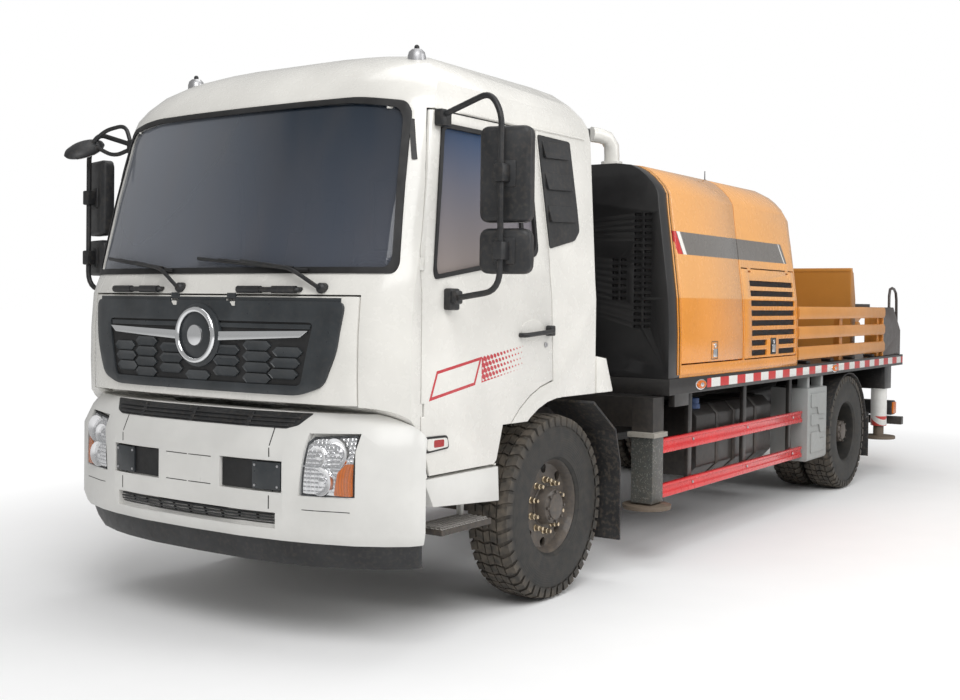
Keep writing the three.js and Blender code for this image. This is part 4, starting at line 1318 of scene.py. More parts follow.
def overlay(name: str, outline: Sequence[Point], axis: Axis, depth: Surface,
            proud: float, sunk: float, step: float = 0.06) -> Piece:
    """Returns a sheet that follows a surface.

    Args:
        name: The piece's name.
        outline: Its outline, seen along the axis.
        axis: The axis it is seen along.
        depth: Where the surface is.
        proud: How far its outer face stands off the surface.
        sunk: How far its back lies under the surface.
        step: Spacing of its divisions.
    """
    piece = Piece.slab(name, outline, axis, -sunk, proud)
    return conform(mesh_grid(piece, axis, step), axis, depth, 0.0)


def local(points: Sequence[Point]) -> list[Point]:
    """Returns (x, z) points given from the front axle, in the frame's axes."""
    return [(x + AXLE, z) for x, z in points]


def both(points: Sequence[Point]) -> list[Point]:
    """Returns an outline's right half, bottom to top, closed with its mirror image."""
    return [*points, *[(-a, b) for a, b in reversed(points)]]


CAB_LEVELS = ((1.300, 1.130, 1.592, 1.0), (1.480, 1.130, 1.590, 1.0), (1.662, 1.130, 1.575, 1.0),
              (1.765, 1.122, 1.528, 0.95),
              (2.180, 1.104, 1.418, 0.85), (2.560, 1.080, 1.305, 0.75), (2.640, 1.069, 1.272, 0.75))
CAB_PLAN = ((0.0, 0.0), (0.35, 0.010), (0.62, 0.040), (0.78, 0.076), (0.90, 0.140), (0.96, 0.190),
            (1.0, 0.245))


def cab_level(z: float) -> tuple[float, float, float]:
    """Returns the cab's half width, foremost line and front curve at a height.

    Args:
        z: The height.

    Returns:
        Half width, foremost line and front curve.
    """
    z = min(max(z, CAB_LEVELS[0][0]), CAB_LEVELS[-1][0])
    for low, high in zip(CAB_LEVELS, CAB_LEVELS[1:]):
        if z <= high[0]:
            t = (z - low[0]) / (high[0] - low[0])
            return tuple(a + (b - a) * t for a, b in zip(low[1:], high[1:]))
    return CAB_LEVELS[-1][1:]


def cab_side(x: float, z: float) -> float:
    """Returns how far out the cab's left skin is, windows closed.

    Args:
        x: Place along the truck.
        z: The height.

    Returns:
        The place across.
    """
    half, front, curve = cab_level(z)
    behind = (front + AXLE - x) / curve
    for (share0, d0), (share1, d1) in zip(CAB_PLAN, CAB_PLAN[1:]):
        if behind <= d1:
            return half * (share0 + (share1 - share0) * max(0.0, behind - d0) / (d1 - d0))
    return half


def cab_front(y: float, z: float) -> float:
    """Returns how far forward the cab's skin is, windshield closed.

    Args:
        y: Place across the truck.
        z: The height.

    Returns:
        The place along.
    """
    half, front, curve = cab_level(z)
    share = min(abs(y) / half, 1.0)
    for (share0, d0), (share1, d1) in zip(CAB_PLAN, CAB_PLAN[1:]):
        if share <= share1:
            return front + AXLE - curve * (d0 + (d1 - d0) * (share - share0) / (share1 - share0))
    return front + AXLE - curve * CAB_PLAN[-1][1]


# ------------------------------------------------------------------ stage
@dataclass(frozen=True)
class Studio:
    """The plain floor, the soft lights and the camera."""

    eye: Colour = (8.3983, 4.4848, 1.6376)
    yaw: float = 33.932
    pitch: float = -0.963
    roll: float = 0.679
    lens: float = 44.54
    shift: Point = (-0.0178, -0.0292)
    floor_size: float = 240.0
    key: float = 0.80
    fill: float = 0.42

    def camera(self) -> None:
        """Places the camera ahead of the cab's left corner, low over the ground."""
        yaw, pitch, roll = (math.radians(v) for v in (self.yaw, self.pitch, self.roll))
        forward = Vector((-math.cos(yaw) * math.cos(pitch), -math.sin(yaw) * math.cos(pitch),
                          math.sin(pitch)))
        right = forward.cross(Vector((0, 0, 1))).normalized()
        up = right.cross(forward)
        across = right * math.cos(roll) + up * math.sin(roll)
        upright = up * math.cos(roll) - right * math.sin(roll)
        data = bpy.data.cameras.new("camera")
        data.lens = self.lens
        data.sensor_width = 36.0
        data.shift_x, data.shift_y = self.shift
        data.clip_end = 400.0
        camera = bpy.data.objects.new("camera", data)
        bpy.context.collection.objects.link(camera)
        turn = Matrix((across, upright, -forward)).transposed().to_4x4()
        camera.matrix_world = Matrix.Translation(self.eye) @ turn
        bpy.context.scene.camera = camera

    def lamp(self, name: str, place: Colour, target: Colour, size: float, power: float) -> None:
        """Adds a large square lamp that looks at a target.

        Args:
            name: The lamp's name.
            place: Where it stands.
            target: What it looks at.
            size: Side of its square.
            power: Its power in watts.
        """
        data = bpy.data.lights.new(name, "AREA")
        data.size = size
        data.energy = power
        obj = bpy.data.objects.new(name, data)
        bpy.context.collection.objects.link(obj)
        look = Vector(target) - Vector(place)
        obj.matrix_world = Matrix.Translation(place) @ look.to_track_quat("-Z", "Y").to_matrix().to_4x4()

    def floor(self) -> None:
        """Adds the floor, which shows white away from the object."""
        deselect()
        bpy.ops.mesh.primitive_plane_add(size=self.floor_size, location=(0, 0, -0.002))
        floor = bpy.context.object
        floor.name = "floor"
        bpy.ops.object.transform_apply(location=True)
        floor.data.materials.append(F.FLOOR.material())

    def world(self) -> None:
        """Sets an even white world, seen white and lighting at the fill level."""
        world = bpy.data.worlds.new("studio")
        bpy.context.scene.world = world
        world.use_nodes = True
        tree = world.node_tree
        path = tree.nodes.new("ShaderNodeLightPath")
        seen = tree.nodes.new("ShaderNodeMath")
        seen.operation = "MAXIMUM"
        tree.links.new(path.outputs["Is Camera Ray"], seen.inputs[0])
        tree.links.new(path.outputs["Is Transmission Ray"], seen.inputs[1])
        level = tree.nodes.new("ShaderNodeMapRange")
        level.inputs["To Min"].default_value = self.fill
        level.inputs["To Max"].default_value = 1.0
        tree.links.new(seen.outputs[0], level.inputs["Value"])
        background = tree.nodes["Background"]
        background.inputs["Color"].default_value = (1.0, 1.0, 1.0, 1.0)
        tree.links.new(level.outputs[0], background.inputs["Strength"])

    def build(self) -> None:
        """Sets the whole stage."""
        self.camera()
        self.floor()
        self.world()
        self.lamp("key", (9.0, 6.0, 9.0), (1.0, 0.0, 1.2), 7.0, 900.0 * self.key)
        self.lamp("side", (-2.0, 11.0, 7.0), (-0.5, 0.0, 1.0), 7.0, 620.0 * self.key)
        self.lamp("top", (0.0, 0.0, 11.0), (0.0, 0.0, 0.0), 8.0, 420.0 * self.key)
        settings = bpy.context.scene.view_settings
        settings.view_transform = "Standard"


# ------------------------------------------------------------------ pieces kept from the CAD
@dataclass(frozen=True)
class Kept:
    """A CAD node shown as its own shape with softened edges."""

    node: str
    body: str
    finish: Finish
    width: float = 0.004
    angle: float = 35.0

    def build(self) -> Piece:
        """Makes the softened copy in place of the node.

        Returns:
            The dressed copy.
        """
        piece = Piece.cad(self.node)
        if self.width > 0:
            piece.bevel(self.width, 2, 32.0)
        return piece.dress(self.finish, self.body, [self.node], self.angle)


def kept_pieces() -> list[Kept]:
    """Returns the nodes that need nothing more than soft edges and a finish.

    Returns:
        The nodes with body, finish and bevel.
    """
    result = [
        Kept("frame", "chassis", F.BLACK),
        Kept("front_axle", "chassis", F.CHASSIS, 0.003),
        Kept("rear_axle", "chassis", F.CHASSIS, 0.003),
        Kept("powertrain", "chassis", F.ENGINE, 0.006),
        Kept("air_dam", "chassis", F.PLASTIC, 0.006),
        Kept("deck", "chassis", F.DECK, 0.003),
        Kept("tool_box", "chassis", F.GREY, 0.008),
        Kept("fuel_tank", "chassis", F.BLACK, 0.010),
        Kept("battery_and_urea_box", "chassis", F.PLASTIC, 0.008),
        Kept("outrigger_front", "chassis", F.COLUMN, 0.004),
        Kept("snorkel", "chassis", F.PLASTIC, 0.012),
        Kept("cab_shell", "cab", F.CAB, 0.010),
        Kept("dashboard", "cab", F.TRIM, 0.006),
        Kept("hood_shell", "chassis", F.HOOD, 0.012),
        Kept("pump_engine", "chassis", F.ENGINE, 0.008),
        Kept("intake_pipe", "chassis", F.CAB, 0.0),
        Kept("splash_guard", "chassis", F.SPLASH, 0.004),
        Kept("pump_unit", "chassis", F.HOPPER, 0.003),
        Kept("hopper", "chassis", F.HOPPER, 0.003),
        Kept("hopper_grate", "hopper_grate", F.CHASSIS, 0.001),
        Kept("agitator", "agitator", F.STEEL, 0.002),
    ]
    for side in ("left", "right"):
        result += [
            Kept(f"step_{side}", "chassis", F.BUMPER, 0.006),
            Kept(f"front_mudguard_{side}", "chassis", F.MUDGUARD, 0.004),
            Kept(f"rear_fender_{side}", "chassis", F.MUDGUARD, 0.003),
            Kept(f"outrigger_rear_{side}", "chassis", F.JACK_WHITE, 0.004),
            Kept(f"jack_leg_front_{side}", f"jack_leg_front_{side}", F.FOOT, 0.003),
            Kept(f"jack_leg_rear_{side}", f"jack_leg_rear_{side}", F.FOOT, 0.003),
            Kept(f"knuckle_{side}", f"knuckle_{side}", F.CHASSIS, 0.003),
            Kept(f"door_{side}", f"door_{side}", F.DOOR, 0.006),
            Kept(f"hood_door_front_{side}", f"hood_door_front_{side}", F.HOOD, 0.008),
            Kept(f"deck_rails_{side}", "chassis", F.RAIL, 0.006),
        ]
    return result


# ------------------------------------------------------------------ front of the cab
@dataclass
class Grille:
    """The front flap's black panel, its scales, bright bars and plain ring."""

    panel: list[Point] = field(default_factory=lambda: rounded(both([
        (0.640, 1.190), (0.775, 1.235), (0.842, 1.400), (0.876, 1.630)]), 0.045))
    recess: list[Point] = field(default_factory=lambda: rounded(both([
        (0.655, 1.236), (0.722, 1.532)]), 0.030))
    rise: float = 0.014
    tile_width: float = 0.176
    tile_height: float = 0.046
    tile_pitch: float = 0.052
    column_pitch: float = 0.1965
    outer_column: int = 3
    first_row: float = 1.262
    stagger: float = 0.026
    ring_clearance: Point = (0.1, 1.30)
    flap_splits: tuple[Point, ...] = ((-0.850, -0.2315), (-0.1685, 0.1685), (0.2315, 0.850))
    ring_height: float = 1.458
    ring_radius: float = 0.126
    ring_bar: float = 0.013
    hinge_axis: Point = (1.566 + AXLE, 1.644)
    hinge_places: tuple[float, float] = (-0.200, 0.200)
    lug_half: float = 0.0301
    pin_cover: float = 0.0064
    tab_cover: float = 0.0044
    tab_span: Point = (1.645, 1.667)
    strip_span: Point = (1.600, 1.647)

    def tile(self) -> Piece:
        """Returns one scale: a long hexagon with a sloping face.

        Returns:
            The scale, around the origin.
        """
        w, h, lean = self.tile_width / 2, self.tile_height / 2, 0.026
        outline = [(-w, 0.0), (-w + lean, -h), (w - lean, -h), (w, 0.0), (w - lean, h), (-w + lean, h)]
        piece = Piece.slab("grille_scales", outline, Axis.X, 0.0, 0.011)

        def shrink() -> None:
            """Insets the outer face and moves it back and down."""
            bpy.ops.mesh.inset(thickness=0.007, depth=0.0)
            bpy.ops.transform.translate(value=(-0.004, 0.0, -0.004))

        return piece.edit(lambda f: f.normal.x > 0.9, shrink)

    def scales(self, depth: Surface) -> Piece:
        """Returns all the scales in staggered columns, on the surface.

        Args:
            depth: Gives the surface's depth at (a, b).

        Returns:
            All the scales as one piece.
        """
        first = self.tile()
        placed = []
        for column in range(-self.outer_column, self.outer_column + 1):
            y = column * self.column_pitch
            odd = column % 2 != 0
            for row in range(4 if not odd else 3):
                z = self.first_row + (self.stagger if odd else 0.0) + row * self.tile_pitch
                if abs(y) < self.ring_clearance[0] and z > self.ring_clearance[1]:
                    continue
                inward = 0.012 * (3 - row) if abs(column) == self.outer_column else 0.0
                place = Vector((0.0, y - math.copysign(inward, y), z))
                placed.append(first.copy("scale", Matrix.Translation(place)))
        bpy.data.objects.remove(first.obj)
        whole = placed[0].add(*placed[1:])
        whole.obj.name = "grille_scales"
        return conform(mesh_grid(whole, Axis.X, 0.1), Axis.X, depth, -0.002)

    def build(self) -> None:
        """Builds the flap and everything on it."""
        flap = Piece.cad("front_flap").bevel(0.006, 3, 40)
        flap.dress(F.CAB, "front_flap", ["front_flap"])
        depth = follow(Skin("front_flap"), Axis.X)
        panel = overlay("grille_panel", self.panel, Axis.X, depth, self.rise, 0.004)
        panel.cut(overlay("recess", self.recess, Axis.X, depth, 0.05, -0.003))
        panel.bevel(0.003, 2, 40).dress(F.GRILLE, "front_flap")
        spans = [overlay("grille_top_strip", rectangle(low, high, *self.strip_span), Axis.X, depth, 0.0035,
                         0.002)
                 for low, high in self.flap_splits]
        spans[0].add(*spans[1:]).dress(F.GRILLE, "front_flap")
        self.hinge_covers()
        back = overlay("grille_backing", self.recess, Axis.X, depth, 0.0042, -0.001)
        back.dress(F.RUBBER_TRIM, "front_flap")
        self.scales(depth).dress(F.GRILLE, "front_flap", angle=20)
        bar = overlay("bright_bar_left", rounded([(0.10, 1.434), (0.655, 1.462), (0.700, 1.494),
                                                  (0.10, 1.478)], 0.006),
                      Axis.X, depth, 0.020, 0.0)
        bar.bevel(0.006, 3, 40)
        bar.other_side("bright_bar_right").dress(F.CHROME, "front_flap")
        bar.dress(F.CHROME, "front_flap")
        rail = overlay("grille_upper_rail", rounded([(-0.70, 1.500), (0.70, 1.500), (0.708, 1.522),
                                                     (-0.708, 1.522)], 0.004),
                       Axis.X, depth, 0.010, 0.0)
        rail.bevel(0.003).dress(F.GRILLE, "front_flap")
        self.ring(depth(0.0, self.ring_height))

    def hinge_covers(self) -> None:
        """Builds the dark covers over the flap's hinge pins and their tabs, on the cab."""
        x, z = self.hinge_axis
        half, pin = self.lug_half, self.pin_cover
        sleeve = [(0.0, -half), (pin, -half), (pin, half), (0.0, half)]
        covers = [Piece.turned("flap_hinge_covers", sleeve, Axis.Y, Vector((x, y, z)), 32)
                  for y in self.hinge_places]
        covers += [Piece.slab("tab", rectangle(y - half, y + half, *self.tab_span), Axis.X,
                              x - self.tab_cover, x + self.tab_cover) for y in self.hinge_places]
        covers[0].add(*covers[1:]).dress(F.GRILLE, "cab")

    def ring(self, face: float) -> None:
        """Builds the plain ring on its round boss.

        Args:
            face: The flap's place along at the ring.
        """
        centre = Vector((face, 0.0, self.ring_height))
        radius, bar = self.ring_radius, self.ring_bar
        boss = [(0.0, 0.0), (radius + 0.032, 0.0), (radius + 0.030, 0.012), (radius + 0.014, 0.024),
                (0.0, 0.030)]
        Piece.turned("ring_boss", boss, Axis.X, centre, 48).dress(F.GRILLE, "front_flap")
        section = [(radius + bar * math.cos(t), 0.030 + bar * 0.8 * math.sin(t))
                   for t in (2 * math.pi * i / 12 for i in range(12))]
        Piece.turned("plain_ring", section, Axis.X, centre, 56).dress(F.CHROME, "front_flap")
        dome = [(0.0, 0.026), (radius * 0.42, 0.026), (radius * 0.40, 0.034), (radius * 0.22, 0.040),
                (0.0, 0.042)]
        Piece.turned("ring_middle", dome, Axis.X, centre, 40).dress(F.CHROME, "front_flap")


@dataclass
class Bumper:
    """The bumper with its lamps, pockets, slotted grilles and blank plate."""

    lamp: list[Point] = field(default_factory=lambda: [
        (0.690, 0.735), (0.946, 0.731), (0.944, 1.020), (0.735, 1.004), (0.705, 0.975)])
    strip: list[Point] = field(default_factory=lambda: rounded(both([
        (0.585, 1.036), (0.640, 1.052), (0.694, 1.108)]), 0.010))
    slot: list[Point] = field(default_factory=lambda: rounded(both([
        (0.530, 0.574), (0.552, 0.590), (0.552, 0.640)]), 0.008))
    hook: list[Point] = field(default_factory=lambda: rounded([
        (0.222, 0.744), (0.586, 0.744), (0.586, 0.880), (0.222, 0.880)], 0.008))
    slats: tuple[Point, ...] = ((1.050, 0.595), (1.068, 0.620), (1.086, 0.642))
    slat_posts: tuple[float, ...] = (-0.40, -0.02, 0.36)
    seam_place: float = 0.52
    seam_half: float = 0.0025
    seam_spans: tuple[Point, ...] = ((0.640, 0.742), (0.884, 1.036))
    plate_lines: Point = (0.746, 0.878)
    plate_half: float = 0.220
    crease: Point = (0.668, 0.6715)
    crease_span: Point = (0.70, 0.93)

    def build(self) -> None:
        """Builds the bumper and everything in it."""
        body = Piece.cad("bumper").bevel(0.005, 2, 40)
        body.dress(F.BUMPER, "chassis", ["bumper"])
        skin = Skin("bumper")
        depth = follow(skin, Axis.X)
        self.strips(depth)
        self.pockets(skin)
        self.lamps(skin)
        self.details(depth)

    def strips(self, depth: Surface) -> None:
        """Builds the slotted strip along the top and its slats.

        Args:
            depth: Gives the surface's depth at (a, b).
        """
        back = overlay("bumper_strip", self.strip, Axis.X, depth, 0.004, 0.006)
        back.bevel(0.0015, 1).dress(F.PLASTIC, "chassis")
        slats = []
        for z, half in self.slats:
            slat = overlay("bumper_strip_slats", rectangle(-half, half, z - 0.0045, z + 0.0045), Axis.X,
                           depth, 0.010, 0.0)
            slats.append(slat)
        for y in self.slat_posts:
            slats.append(overlay("post", rectangle(y - 0.012, y + 0.012, 1.040, 1.104), Axis.X, depth, 0.009,
                                 0.0))
        slats[0].add(*slats[1:]).bevel(0.0012, 1).dress(F.PLASTIC, "chassis")

    def pockets(self, skin: Skin) -> None:
        """Builds near-black linings in the hook pockets and behind the lower slot's bars, which stand for the
        painted shade inside them.

        Args:
            skin: The skin that it lies on.
        """
        face = fitted(skin, Axis.X, self.hook, 0.03)
        # painted shade: a near-black lining at the back of the hook pocket
        shade_lining = overlay("hook_pocket_left", self.hook, Axis.X, face, -0.014, 0.026)
        shade_lining.bevel(0.002, 1)
        cover = overlay("hook_cover_left", rounded(rectangle(0.420, 0.582, 0.748, 0.876), 0.006), Axis.X,
                        face, -0.003, 0.020)
        cover.bevel(0.003, 2)
        screws = []
        for y, z in ((0.436, 0.764), (0.436, 0.860), (0.566, 0.764), (0.566, 0.860)):
            centre = Vector((face(y, z) - 0.003, y, z))
            screws.append(Piece.turned("hook_screws_left",
                                       [(0.0, -0.004), (0.007, -0.004), (0.006, 0.003), (0.0, 0.004)],
                                       Axis.X, centre, 12))
        screw = screws[0].add(*screws[1:])
        for piece, finish in ((shade_lining, F.RUBBER_TRIM), (cover, F.GRILLE), (screw, F.STEEL)):
            piece.dress_pair(finish, "chassis")
        low = fitted(skin, Axis.X, self.slot, 0.02)
        # painted shade: a near-black sheet behind the lower slot's bars
        overlay("lower_slot", self.slot, Axis.X, low, -0.030, 0.036).dress(F.RUBBER_TRIM, "chassis")
        bars = [overlay("lower_slot_bars", rectangle(-0.54, 0.54, z - 0.004, z + 0.004), Axis.X, low, -0.020,
                        0.026)
                for z in (0.588, 0.603, 0.618, 0.632)]
        bars += [overlay("post", rectangle(y - 0.006, y + 0.006, 0.578, 0.630), Axis.X, low, -0.022, 0.026)
                 for y in (-0.44, -0.33, -0.22, -0.11, 0.0, 0.11, 0.22, 0.33, 0.44)]
        bars[0].add(*bars[1:]).dress(F.PLASTIC, "chassis")

    def lamps(self, skin: Skin) -> None:
        """Builds both headlights: bowl, reflectors, amber corner and clear cover.

        Args:
            skin: The skin that it lies on.
        """
        face = fitted(skin, Axis.X, self.lamp, 0.03)
        shell = overlay("headlight_shell_left", self.lamp, Axis.X, face, -0.012, 0.026, 0.03)
        parts = [(shell, F.RUBBER_TRIM)]
        bowls = []
        for y, z, radius in ((0.850, 0.935, 0.066), (0.765, 0.915, 0.048), (0.790, 0.805, 0.062)):
            centre = Vector((face(y, z) - 0.016, y, z))
            profile = [(0.012, -0.006), (radius * 0.6, 0.002), (radius, 0.012), (radius + 0.004, 0.012),
                       (radius + 0.004, -0.008), (0.012, -0.008)]
            bowls.append(Piece.turned("headlight_bowls_left", profile, Axis.X, centre, 32))
            bulb = [(0.0, -0.006), (0.018, -0.004), (0.019, 0.004), (0.010, 0.010), (0.0, 0.011)]
            bowls.append(Piece.turned("bulb", bulb, Axis.X, centre, 20))
        parts.append((bowls[0].add(*bowls[1:]), F.REFLECTOR))
        backing = overlay("headlight_mirror_left",
                          rounded([(0.700, 0.745), (0.936, 0.741), (0.934, 1.008), (0.745, 0.994),
                                   (0.716, 0.965)], 0.01),
                          Axis.X, face, -0.011, 0.013, 0.02)

        def facet() -> None:
            """Insets each face by itself."""
            bpy.ops.mesh.inset(thickness=0.003, depth=0.002, use_individual=True)

        parts.append((backing.edit(lambda f: f.normal.x > 0.6, facet), F.REFLECTOR))
        rim = overlay("headlight_divider_left", rectangle(0.702, 0.934, 0.868, 0.876), Axis.X, face, -0.004,
                      0.012)
        parts.append((rim, F.CHROME))
        corner = rounded([(0.856, 0.744), (0.938, 0.742), (0.936, 0.892), (0.905, 0.888), (0.872, 0.850)],
                         0.008)
        parts.append((overlay("amber_lamp_left", corner, Axis.X, face, -0.003, 0.012, 0.02), F.AMBER_LENS))
        cover = overlay("headlight_cover_left", rounded(self.lamp, 0.012), Axis.X, face, 0.001, 0.0015, 0.04)
        parts.append((cover, F.CLEAR_LENS))
        for piece, finish in parts:
            piece.dress_pair(finish, "chassis")

    def details(self, depth: Surface) -> None:
        """Builds the seams, the blank plate's screws and the pressed lines.

        Args:
            depth: Gives the surface's depth at (a, b).
        """
        lines = []
        for y in (self.seam_place, -self.seam_place):
            for low, high in self.seam_spans:
                seam = rectangle(y - self.seam_half, y + self.seam_half, low, high)
                lines.append(overlay("bumper_seams", seam, Axis.X, depth, 0.0012, 0.002, 0.02))
        flat = [rectangle(-self.plate_half, self.plate_half, z - 0.002, z + 0.002) for z in self.plate_lines]
        near, far = self.crease_span
        flat += [rectangle(near, far, *self.crease), rectangle(-far, -near, *self.crease)]
        lines += [overlay("line", outline, Axis.X, depth, 0.0006, 0.002) for outline in flat]
        lines[0].add(*lines[1:]).dress(F.RUBBER_TRIM, "chassis")
        screws = []
        for y, z in ((-0.145, 0.866), (0.094, 0.866), (-0.138, 0.757), (0.097, 0.757)):
            centre = Vector((depth(y, z), y, z))
            screws.append(Piece.turned("plate_screws",
                                       [(0.0, -0.003), (0.012, -0.003), (0.011, 0.0), (0.006, 0.0015),
                                        (0.0, 0.0015)],
                                       Axis.X, centre, 14))
        screws[0].add(*screws[1:]).dress(F.BUMPER, "chassis")


# ------------------------------------------------------------------ cab
@dataclass
class Windshield:
    """The windshield's glass, its seal, the wipers and the hand-hold pads."""

    glass: list[Point] = field(default_factory=lambda: both([
        (1.020, 1.790), (1.035, 1.830), (0.975, 2.510), (0.940, 2.560), (0.700, 2.590)]))
    seal_out: float = 0.028
    seal_in: float = 0.002
    rests: tuple[tuple[str, Point, Point, Point, Point], ...] = (
        ("wiper_right", (-0.165, 1.692), (-0.330, 1.790), (-0.560, 1.822), (-0.865, 1.852)),
        ("wiper_left", (0.745, 1.692), (0.560, 1.785), (0.240, 1.822), (-0.090, 1.842)))

    def grown(self, gap: float) -> list[Point]:
        """Returns the glass outline grown by a gap, with rounded corners."""
        points = [(y + gap * math.copysign(1.0, y), z + (gap if z > 2.2 else -gap)) for y, z in self.glass]
        return rounded(points, 0.05)

    def build(self) -> None:
        """Builds the glass, its seal, the wipers and the pads."""
        depth = cab_front
        glass = Piece.cad("windshield")
        glass.dress(F.WINDSHIELD, "cab", ["windshield"], 50)
        seal = overlay("windshield_seal", self.grown(self.seal_out), Axis.X, depth, 0.007, 0.003, 0.022)
        seal.cut(overlay("hole", self.grown(-self.seal_in), Axis.X, depth, 0.05, 0.05, 0.1))
        seal.bevel(0.0015, 1, 50).dress(F.RUBBER_TRIM, "cab")
        self.wipers(depth)
        self.pads(depth)

    def wipers(self, depth: Surface) -> None:
        """Builds two wipers that rest along the foot of the glass."""
        for name, pivot, elbow, middle, tip in self.rests:
            def off(p: Point, lift: float) -> Vector:
                """Returns a point that stands off the glass."""
                return Vector((depth(*p) + lift, p[0], p[1]))

            arm = Piece.tube(name, [off(pivot, 0.030), off(elbow, 0.045), off(middle, 0.040)], 0.010, 0.05, 3)
            reach = [Vector(elbow).lerp(Vector(tip), t / 8) for t in range(-1, 9)]
            blade = Piece.tube("blade", [off((p.x, p.y - 0.004), 0.014) for p in reach], 0.009, 0.01, 2)
            spine = Piece.tube("spine", [off((p.x, p.y + 0.004), 0.026) for p in reach[1:8]], 0.006, 0.01, 2)
            cap = Piece.turned("cap", [(0.0, -0.010), (0.025, -0.008), (0.025, 0.024), (0.017, 0.034),
                                       (0.0, 0.036)],
                               Axis.X, off(pivot, 0.0), 20)
            arm.add(blade, spine, cap).dress(F.PLASTIC, "cab")

    def pads(self, depth: Surface) -> None:
        """Builds the two hand-holds under the glass."""
        for name, low, high in (("hand_hold_left", 0.250, 0.620), ("hand_hold_right", -0.700, -0.310)):
            z = 1.684
            ends = [Vector((depth(y, z) + 0.024, y, z)) for y in (low, (low + high) / 2, high)]
            bar = Piece.tube(name, [ends[0] - Vector((0.03, 0, 0)), ends[0], ends[1], ends[2],
                                    ends[2] - Vector((0.03, 0, 0))],
                             0.013, 0.015, 3)
            grips = []
            for start, end in ((0.02, 0.40), (0.60, 0.98)):
                a, b = ends[0].lerp(ends[2], start), ends[0].lerp(ends[2], end)
                grip = Piece.tube("grip", [a, a.lerp(b, 0.5), b], 0.0185, 0.01, 3)
                grips.append(grip)
            bar.add(*grips).dress(F.PLASTIC, "cab")


